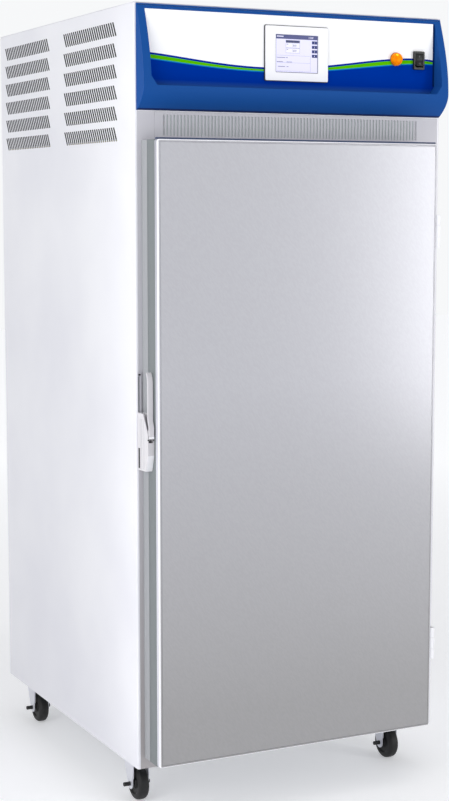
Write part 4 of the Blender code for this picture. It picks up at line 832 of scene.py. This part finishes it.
face_y = switch_low.y
centre_x, centre_z = switch_at.x, switch_at.z
HALF = 0.014
OPEN_X, OPEN_Z = 0.0103, HALF + 0.0015
housing = panel(switch_low.x, switch_low.z, switch_high.x, switch_high.z, face_y, back_y, 0.0025)
housing = carved(housing, panel(centre_x - OPEN_X, centre_z - OPEN_Z, centre_x + OPEN_X, centre_z + OPEN_Z,
    face_y - 0.01, back_y + 0.01, 0.0008))
well = block((centre_x - WELL.x, back_y, centre_z - WELL.z),
    (centre_x + WELL.x, switch_high.y, centre_z + WELL.z))
well = carved(well, block((centre_x - OPEN_X, back_y - 0.01, centre_z - OPEN_Z),
    (centre_x + OPEN_X, switch_high.y - 0.006, centre_z + OPEN_Z)))
housing = piece("switch_frame", add(housing, well), black_plastic, instead_of="switch_housing")
ease(housing, 0.0008, 3)

OUT = 0.003
TILT = math.radians(10)
LIFT = HALF * math.tan(TILT)
axis_at = Vector((centre_x, face_y + OUT, centre_z))
profile = [(-HALF, 0), (-HALF, OUT + LIFT), (0, OUT), (HALF, OUT + LIFT), (HALF, 0), (0.0077, -0.008),
    (-0.0077, -0.008)]
rocker = slab([(-0.01, -forward, up) for up, forward in profile], (0.02, 0, 0))
soften(rocker, rocker.edges, 0.0006, 2)
for end, up in ((1, 0.0085), (-1, -0.008)):
    if end == 1:
        mark = block((-0.0004, -0.0001, -0.0022), (0.0004, 0.0001, 0.0022))
    else:
        mark = turned([(0.0016, -0.0001), (0.0022, -0.0001), (0.0022, 0.0001), (0.0016, 0.0001)],
            (0, 0, 0), (0, -1, 0), 28, ring=True)
    lie = Matrix.Translation((0, -OUT - LIFT * abs(up) / HALF, up)) @ Matrix.Rotation(end * TILT, 4, "X")
    bmesh.ops.transform(mark, matrix=lie, verts=mark.verts)
    add(rocker, mark, 1)
bmesh.ops.transform(rocker, matrix=Matrix.Translation(axis_at) @ Matrix.Rotation(-TILT, 4, "X"),
    verts=rocker.verts)
piece("switch_rocker", rocker, [black_plastic, mark_grey], "rocker", "power_rocker")

# %% [markdown]
# ## Door
# The door is a sandwich. Its front is a hammered steel pan with a fine groove inside its rolled
# edges, which are smooth and pale. A painted highlight lies white along the front of the edges and
# in the groove, and the pale sides are painted darker towards the top as painted shade. Behind the
# pan come a dark band that stops the cold, the inner panel, and the grey bellows gasket. A ring
# with one profile all round is a spin of four steps, whose sides are then pushed out to the door's edges.

# %% Door skin
low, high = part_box("door_skin")
skin = block(low, high)
bmesh.ops.delete(skin, geom=[f for f in skin.faces if f.calc_center_median().y > high.y - 1e-5],
    context="FACES_ONLY")
ahead = [e for e in skin.edges if not all(v.co.y > high.y - 1e-5 for v in e.verts)]
soften(skin, ahead, 0.005, 6)
front_face = max(skin.faces, key=lambda f: f.calc_area())
for width, depth in ((0.0004, 0), (0.0007, -0.0009), (0.0007, 0.0009)):
    bmesh.ops.inset_region(skin, faces=[front_face], thickness=width, depth=0, use_even_offset=True)
    if depth:
        bmesh.ops.translate(skin, vec=(0, -depth, 0), verts=front_face.verts)
# Painted highlight: the front of the rolled edges and the groove take white.
for face in skin.faces:
    back_from_face = face.calc_center_median().y - low.y
    face.material_index = 0 if back_from_face < 0.0006 else 1 if back_from_face > 0.005 else 2
bmesh.ops.recalc_face_normals(skin, faces=skin.faces)
bmesh.ops.solidify(skin, geom=skin.faces[:], thickness=SHEET)
piece("door_front", skin, [door_grey, door_edge, white_trim_and_highlight], "door", "door_skin")


# %% Door layers
def framed(profile, low, high):
    """A frame with one profile all round: insets from the outer edge, and depths."""
    half = min(high.x - low.x, high.z - low.z) / 2
    shape = bmesh.new()
    points = [shape.verts.new((half - inset, y, half - inset)) for inset, y in profile]
    lines = [shape.edges.new(pair) for pair in zip(points, points[1:] + points[:1])]
    bmesh.ops.spin(shape, geom=points + lines, cent=(0, 0, 0), axis=(0, 1, 0), angle=math.tau, steps=4,
        use_merge=True, use_duplicate=False)
    bmesh.ops.remove_doubles(shape, verts=shape.verts, dist=1e-6)
    middle = (low + high) / 2
    for vert in shape.verts:
        vert.co.x += middle.x + math.copysign((high.x - low.x) / 2 - half, vert.co.x)
        vert.co.z += middle.z + math.copysign((high.z - low.z) / 2 - half, vert.co.z)
    return shape


low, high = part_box("door_edge_frame")
WIDE = 0.012
band = framed([(WIDE, low.y), (0.0004, low.y), (0, low.y + 0.0006), (0, high.y - 0.0006), (0.0004, high.y),
    (WIDE, high.y)], low, high)
piece("door_edge_band", band, edge_band_and_shade, "door", "door_edge_frame")
dress("door_inner_panel", inner_grey_and_shade, 0.0008)
dress("door_insulation", foam)

low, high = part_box("door_gasket")
bellows = [(0.018, low.y), (0.0004, low.y)]
for i in range(3):
    start = low.y + 0.0006 + i * 0.0029
    bellows += [(0, start + 0.0002), (0, start + 0.0018), (0.0016, start + 0.0022), (0.0016, start + 0.0026)]
bellows += [(0.0006, high.y - 0.0001), (0.018, high.y)]
piece("door_seal", framed(bellows, low, high), gasket_rubber, "door", "door_gasket")

# %% [markdown]
# ## Hinges
# A hinge is a bracket with two knuckles on the cabinet and a leaf with the middle knuckle on the
# door, both enamelled white. The knuckles are turned, and the plates are bars with eased edges.

# %% Hinges
HINGE_X, HINGE_Y = 0.343, -0.4845
KNUCKLE_R, KNUCKLE_H = 0.007, 0.024


def knuckle(z0, z1):
    edge = 0.0008
    return turned([(0, z0), (KNUCKLE_R - edge, z0), (KNUCKLE_R, z0 + edge), (KNUCKLE_R, z1 - edge),
        (KNUCKLE_R - edge, z1), (0, z1)], (HINGE_X, HINGE_Y, 0), (0, 0, 1), 36)


for level in ("lower", "upper"):
    low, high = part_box(f"{level}_hinge_bracket")
    bracket = knuckle(low.z, low.z + KNUCKLE_H)
    add(bracket, knuckle(high.z - KNUCKLE_H, high.z))
    web_x0, web_x1 = HINGE_X - 0.003, HINGE_X + 0.003
    add(bracket, block((web_x0, HINGE_Y + 0.0076, low.z), (web_x1, high.y - 0.0015, high.z), 0.0008))
    add(bracket, block((web_x0, high.y - 0.003, low.z), (high.x, high.y, high.z), 0.0008))
    for z in (low.z, high.z - KNUCKLE_H):
        add(bracket, block((web_x0, HINGE_Y, z), (web_x1, HINGE_Y + 0.016, z + KNUCKLE_H), 0.0008))
    for z in (low.z + 0.014, (low.z + high.z) / 2, high.z - 0.014):
        add(bracket, screw((HINGE_X + 0.026, high.y - 0.003, z), (0, -1, 0), 0.0045, 0.0022), 1)
    piece(f"{level}_hinge_arm", bracket, [white_trim_and_highlight, zinc], instead_of=f"{level}_hinge_bracket")
    low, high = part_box(f"{level}_hinge_leaf")
    middle_low, middle_high = low.z + KNUCKLE_H + GAP, high.z - KNUCKLE_H - GAP
    leaf = knuckle(middle_low, middle_high)
    add(leaf, block((low.x, HINGE_Y + 0.0076, low.z), (low.x + 0.002, high.y, high.z), 0.0006))
    add(leaf, block((low.x, HINGE_Y, middle_low), (low.x + 0.002, HINGE_Y + 0.014, middle_high), 0.0006))
    for z in (low.z + 0.016, high.z - 0.016):
        add(leaf, screw((low.x + 0.002, high.y - 0.012, z), (1, 0, 0), 0.0035, 0.0016), 1)
    piece(f"{level}_hinge_flap", leaf, [white_trim_and_highlight, zinc], "door", f"{level}_hinge_leaf")

# %% [markdown]
# ## Latch
# The latch hangs on the door's left side: a slim cast case with ribs and screws, a lever in a slot
# between its cheeks, and a strike plate on the stile behind it. The case is its side view
# pushed out to the width, with the slot and the grooves cut away. The lever steps back
# above its heel, and its tip bends towards the cabinet.

# %% Latch
low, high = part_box("latch_case")
CHIN_H, BROW_H, BROW_D = 0.038, 0.045, 0.026
side_view = [(high.y, low.z), (high.y - 0.045, low.z + 0.001), (low.y, low.z + CHIN_H),
    (low.y, high.z - BROW_H), (low.y + BROW_D, high.z), (high.y, high.z)]
case = slab([(low.x, y, z) for y, z in side_view], (high.x - low.x, 0, 0), 0.002, 3)
LEVER_Y, LEVER_Z = -0.4515, 0.886
case = carved(case, block((low.x + 0.0022, low.y - 0.01, LEVER_Z - 0.0086),
    (high.x - 0.0022, high.y - 0.01, high.z + 0.01)))
grooves = block((low.x - 0.01, low.y - 0.01, LEVER_Z - 0.0042),
    (high.x + 0.01, low.y + 0.002, LEVER_Z - 0.0008))
for back, start in ((0.014, 0.004), (0.0215, 0.004), (0.034, 0.006)):
    add(grooves, block((low.x - 0.01, high.y - back, low.z + start),
        (low.x + 0.0007, high.y - back + 0.0018, high.z - 0.012)))
add(grooves, block((low.x - 0.01, high.y - 0.0112, low.z + 0.0045),
    (low.x + 0.0016, high.y - 0.0026, low.z + 0.0495)))
case = carved(case, grooves)
case.normal_update()
for face in case.faces:
    slanted = face.normal.y < -0.2 and face.normal.z < -0.2
    # Painted shade: the slot's floor below the lever takes black.
    if face.normal.z > 0.9 and face.calc_center_median().z < LEVER_Z:
        face.material_index = 2
    # Painted highlight: the case's upward faces and its slanted chin take white.
    elif abs(face.normal.x) < 0.5 and (slanted or face.normal.z > 0.9):
        face.material_index = 3
    # Painted shade: the floors of the side grooves take a darker grey.
    elif abs(face.calc_center_median().x - low.x - 0.0007) < 1e-5:
        face.material_index = 4
add(case, rod(0.0025, -0.0075, 0.0075, ((low.x + high.x) / 2, LEVER_Y, LEVER_Z), (1, 0, 0), 20))
for y, z in ((high.y - 0.0055, high.z - 0.01), (high.y - 0.0055, low.z + 0.06),
        (low.y + 0.018, low.z + 0.062)):
    add(case, screw((low.x + 0.0012, y, z), (-1, 0, 0), 0.0024, 0.0011), 1)
# Painted shade: a black plate fills the recess in the case's side.
add(case, block((low.x + 0.0004, high.y - 0.011, low.z + 0.0047),
    (low.x + 0.0018, high.y - 0.0028, low.z + 0.0493)), 2)
# Painted shade: black linings on the slot's two cheeks.
for x in (low.x + 0.0003, high.x - 0.0022):
    add(case, block((x, low.y + 0.0012, LEVER_Z - 0.0041), (x + 0.0019, low.y + 0.0022, LEVER_Z - 0.0009)), 2)
case = piece("latch_body", case, [latch_grey, zinc, black_filter_and_shade, white_trim_and_highlight, inner_grey_and_shade],
    "door", "latch_case")
ease(case, 0.0005)

low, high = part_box("latch_lever")
grip = low.y
rim = [(LEVER_Y + 0.008 * math.cos(math.radians(a)), LEVER_Z + 0.008 * math.sin(math.radians(a)))
    for a in range(20, -111, -13)]
rim += [(grip + 0.004, LEVER_Z + 0.012), (grip + 0.004, LEVER_Z + 0.024)]
neck = slab([(low.x, y, z) for y, z in rim], (high.x - low.x, 0, 0))
lever = carved(neck, rod(0.0028, -0.02, 0.02, (low.x, LEVER_Y, LEVER_Z), (1, 0, 0), 20))
front = [(0, LEVER_Z + 0.0006), (0, LEVER_Z + 0.026), (0.006, LEVER_Z + 0.04), (0.006, high.z - 0.02),
    (0.0075, high.z - 0.008), (0.011, high.z), (0.016, high.z + 0.0045)]
rear = [(0.0165, high.z + 0.0005), (0.0145, high.z - 0.002), (0.0118, high.z - 0.0095),
    (0.0105, high.z - 0.021), (0.0105, LEVER_Z + 0.041), (0.0048, LEVER_Z + 0.027),
    (0.0048, LEVER_Z + 0.0085), (0.0016, LEVER_Z + 0.0075), (0.0016, LEVER_Z + 0.0006)]
LEVER_WIDE = 0.012
right = high.x - 0.0001
add(lever, slab([(right - LEVER_WIDE, grip + y, z) for y, z in front + rear], (LEVER_WIDE, 0, 0)))
add(lever, block((right - LEVER_WIDE, grip - 0.0007, LEVER_Z + 0.0006),
    (right, grip + 0.0004, LEVER_Z + 0.0056)), 1)
lever = piece("latch_handle", lever, [latch_grey, white_trim_and_highlight], "lever", "latch_lever")
ease(lever, 0.0008, 3)

low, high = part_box("strike_plate")
strike = block(low, high, 0.0006)
strike = carved(strike, panel(low.x + 0.001, high.z - 0.088, high.x - 0.002, high.z - 0.003, low.y - 0.01,
    low.y + 0.0022, 0.001))
# Painted shade: a dark strip along the left side of the plate's recess.
add(strike, block((low.x + 0.001, low.y + 0.001, high.z - 0.088),
    (low.x + 0.0038, low.y + 0.0022, high.z - 0.009)), 1)
# Painted shade: a black strip across the top of the recess.
add(strike, block((low.x + 0.003, low.y + 0.0006, high.z - 0.007),
    (high.x - 0.002, low.y + 0.0022, high.z - 0.003)), 2)
piece("strike", strike, [frame_grey, edge_band_and_shade, black_plastic], instead_of="strike_plate")

# %% [markdown]
# ## Casters
# Each caster has a bolted plate, a double ball race, a pressed fork with bright legs, and a black
# rubber wheel. The plate stays with the cabinet, the fork and the axle swivel, and the wheel
# rolls, so a caster is three bodies. One function makes it from the boxes of its solids.


# %% Casters
LEG_CLEAR, LEG_THICK = 0.0055, 0.003


def lying(x0, y0, x1, y1, z, thick, round_):
    """A flat plate with rounded corners."""
    return slab([(x0, y0, z), (x1, y0, z), (x1, y1, z), (x0, y1, z)], (0, 0, thick), round_)


def caster(name):
    low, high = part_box(f"{name}_wheel")
    hub = (low + high) / 2
    radius, half = (high.z - low.z) / 2, (high.x - low.x) / 2
    round_ = [(radius - 0.009 + 0.009 * math.sin(a), half - 0.009 + 0.009 * math.cos(a))
        for a in (math.pi / 2 * i / 8 for i in range(9))]
    upper = [(0.0054, half), (0.012, half), (0.013, half - 0.001), (0.014, half - 0.003),
        (0.024, half - 0.003), (0.0255, half - 0.0015), (0.027, half), *round_]
    tyre = turned([*upper, *[(r, -h) for r, h in reversed(upper)]], hub, (1, 0, 0), 48, ring=True)
    piece(f"{name}_tyre", tyre, tyre_rubber, name.replace("_caster", "_wheel"), f"{name}_wheel", 30)

    low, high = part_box(f"{name}_plate")
    top, swivel = high.z, (low + high) / 2
    base = lying(low.x, low.y, high.x, high.y, top - 0.003, 0.003, 0.007)
    for x in (low.x + 0.012, high.x - 0.012):
        for y in (low.y + 0.012, high.y - 0.012):
            add(base, turned([(0, -0.004), (0.0045, -0.004), (0.0055, -0.003), (0.0055, 0), (0, 0)],
                (x, y, top - 0.003), (0, 0, 1), 6))
    race = [(0, 0), (0.024, 0), (0.0245, -0.003), (0.0225, -0.004), (0.024, -0.0052), (0.024, -0.008),
        (0.006, -0.008), (0.006, -0.0121), (0.01, -0.0121), (0.01, -0.0156), (0.0085, -0.0161),
        (0, -0.0161)]
    add(base, turned(race, (swivel.x, swivel.y, top - 0.003), (0, 0, 1), 36))
    plate = piece(f"{name}_mount", base, zinc, instead_of=f"{name}_plate", sharp=28)
    ease(plate, 0.0005)

    low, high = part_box(f"{name}_fork")
    crown_low = high.z - 0.0035
    crown = lying(low.x, low.y + 0.002, high.x, high.y - 0.001, crown_low, 0.0035, 0.006)
    crown = carved(crown, rod(0.0063, -0.01, 0.01, (swivel.x, swivel.y, crown_low), (0, 0, 1), 28))
    for side in (-1, 1):
        x = hub.x + side * (half + LEG_CLEAR + LEG_THICK / 2) - LEG_THICK / 2
        foot = [(hub.y + 0.013 * math.cos(math.radians(a)), hub.z + 0.013 * math.sin(math.radians(a)))
            for a in range(180, 361, 15)]
        leg = [(hub.y - 0.0145, crown_low + 0.001), *foot, (hub.y + 0.04, crown_low + 0.001)]
        leg = slab([(x, y, z) for y, z in leg], (LEG_THICK, 0, 0))
        add(crown, carved(leg, rod(0.0053, -0.02, 0.02, (x, hub.y, hub.z), (1, 0, 0), 24)))
        flange_x = x if side < 0 else x + 0.0005
        flange_wide = 0.0045 if side < 0 else 0.0025
        add(crown, block((flange_x, hub.y - 0.0145, hub.z + 0.014),
            (flange_x + flange_wide, hub.y - 0.0125, crown_low + 0.001), 0.0006, 1))
    fork = piece(f"{name}_legs", crown, bright_plate, name, f"{name}_fork")
    ease(fork, 0.0008)

    low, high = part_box(f"{name}_axle")
    left, right = low.x - hub.x, high.x - hub.x
    bolt = turned([(0, left), (0.0042, left), (0.005, left + 0.001), (0.005, right - 0.001), (0.0042, right),
        (0, right)], hub, (1, 0, 0), 24)
    piece(f"{name}_bolt", bolt, black_plastic, name, f"{name}_axle")


for end in ("front", "rear"):
    for side in ("left", "right"):
        caster(f"{end}_{side}_caster")

# %% [markdown]
# ## Chamber
# The open door shows a brushed steel chamber: a rack, three wire shelves, and an air duct cover
# with a fan behind a wire guard. Wires are round bars between two points, laid side by side, and
# the guard's rings are small circles spun about the fan's axis.

# %% Chamber
for name in ("chamber_liner", "baffle_panel", "shelf_rack"):
    dress(name, steel, 0.0004)
dress("cabinet_insulation", foam)
dress("machine_deck", zinc)
dress("air_heater", steel)
dress("evaporator_coil", copper)
dress("circulation_fan", black_plastic)
dress("circulation_fan_motor", black_paint)


def wire(start, end, radius, sides=8):
    """A round bar between two points."""
    start, end = Vector(start), Vector(end)
    shape = bmesh.new()
    bmesh.ops.create_cone(shape, cap_ends=True, segments=sides, radius1=radius, radius2=radius,
        depth=(end - start).length)
    lie = Matrix.Translation((start + end) / 2) @ (end - start).to_track_quat("Z", "Y").to_matrix().to_4x4()
    bmesh.ops.transform(shape, matrix=lie, verts=shape.verts)
    return shape


THICK, THIN = 0.0028, 0.0015
for number in (1, 2, 3):
    low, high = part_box(f"wire_shelf_{number}")
    z = low.z + THICK
    inset = THICK + 0.0002
    x0, x1, y0, y1 = low.x + inset, high.x - inset, low.y + inset, high.y - inset
    shelf = bmesh.new()
    for a, b in (((x0, y0), (x1, y0)), ((x0, y1), (x1, y1)), ((x0, y0), (x0, y1)), ((x1, y0), (x1, y1))):
        add(shelf, wire((*a, z), (*b, z), THICK, 12))
    bars = 31
    run = wire((x0 + 0.018, y0, high.z - THIN), (x0 + 0.018, y1, high.z - THIN), THIN)
    add(shelf, repeated(run, ((x1 - x0 - 0.036) / (bars - 1), 0, 0), bars))
    for share in (0.25, 0.5, 0.75):
        y = y0 + (y1 - y0) * share
        add(shelf, wire((x0, y, low.z + THIN), (x1, y, low.z + THIN), THIN))
    piece(f"shelf_wires_{number}", shelf, steel, instead_of=f"wire_shelf_{number}")

fan_at = Vector((0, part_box("baffle_panel")[0].y - 0.0016, 1.279))
guard = bmesh.new()
for radius in (0.022, 0.038, 0.054, 0.07, 0.0865):
    turns = [math.tau * i / 8 for i in range(8)]
    section = [(radius + 0.0012 * math.cos(a), 0.0012 * math.sin(a)) for a in turns]
    add(guard, turned(section, fan_at, (0, 1, 0), 48, ring=True))
forward = Vector((0, -0.0016, 0))
for a in turns:
    ray = Vector((math.cos(a), 0, math.sin(a)))
    add(guard, wire(fan_at + ray * 0.021 + forward, fan_at + ray * 0.092 + forward, 0.0012))
piece("fan_guard", guard, steel)

low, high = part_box("temperature_probe")
centre = (low + high) / 2
probe = turned([(0, 0.07), (0.0018, 0.0694), (0.003, 0.067), (0.003, 0.006), (0.0085, 0.006),
    (0.009, 0.0055), (0.009, 0), (0, 0)], (centre.x, high.y, centre.z), (0, -1, 0), 28)
piece("probe_rod", probe, steel, instead_of="temperature_probe")

# %% [markdown]
# ## Machine bay
# The bay shows only as dark shapes through the vents in the back. Its solids keep their meshes
# and get the finishes such parts have: black paint, copper tube, plated sheet.

# %% Machine bay
dress("compressor", black_paint, 0.001)
dress("condenser_coil", copper)
dress("condenser_fan_shroud", zinc, 0.0004)
dress("condenser_fan", black_plastic)
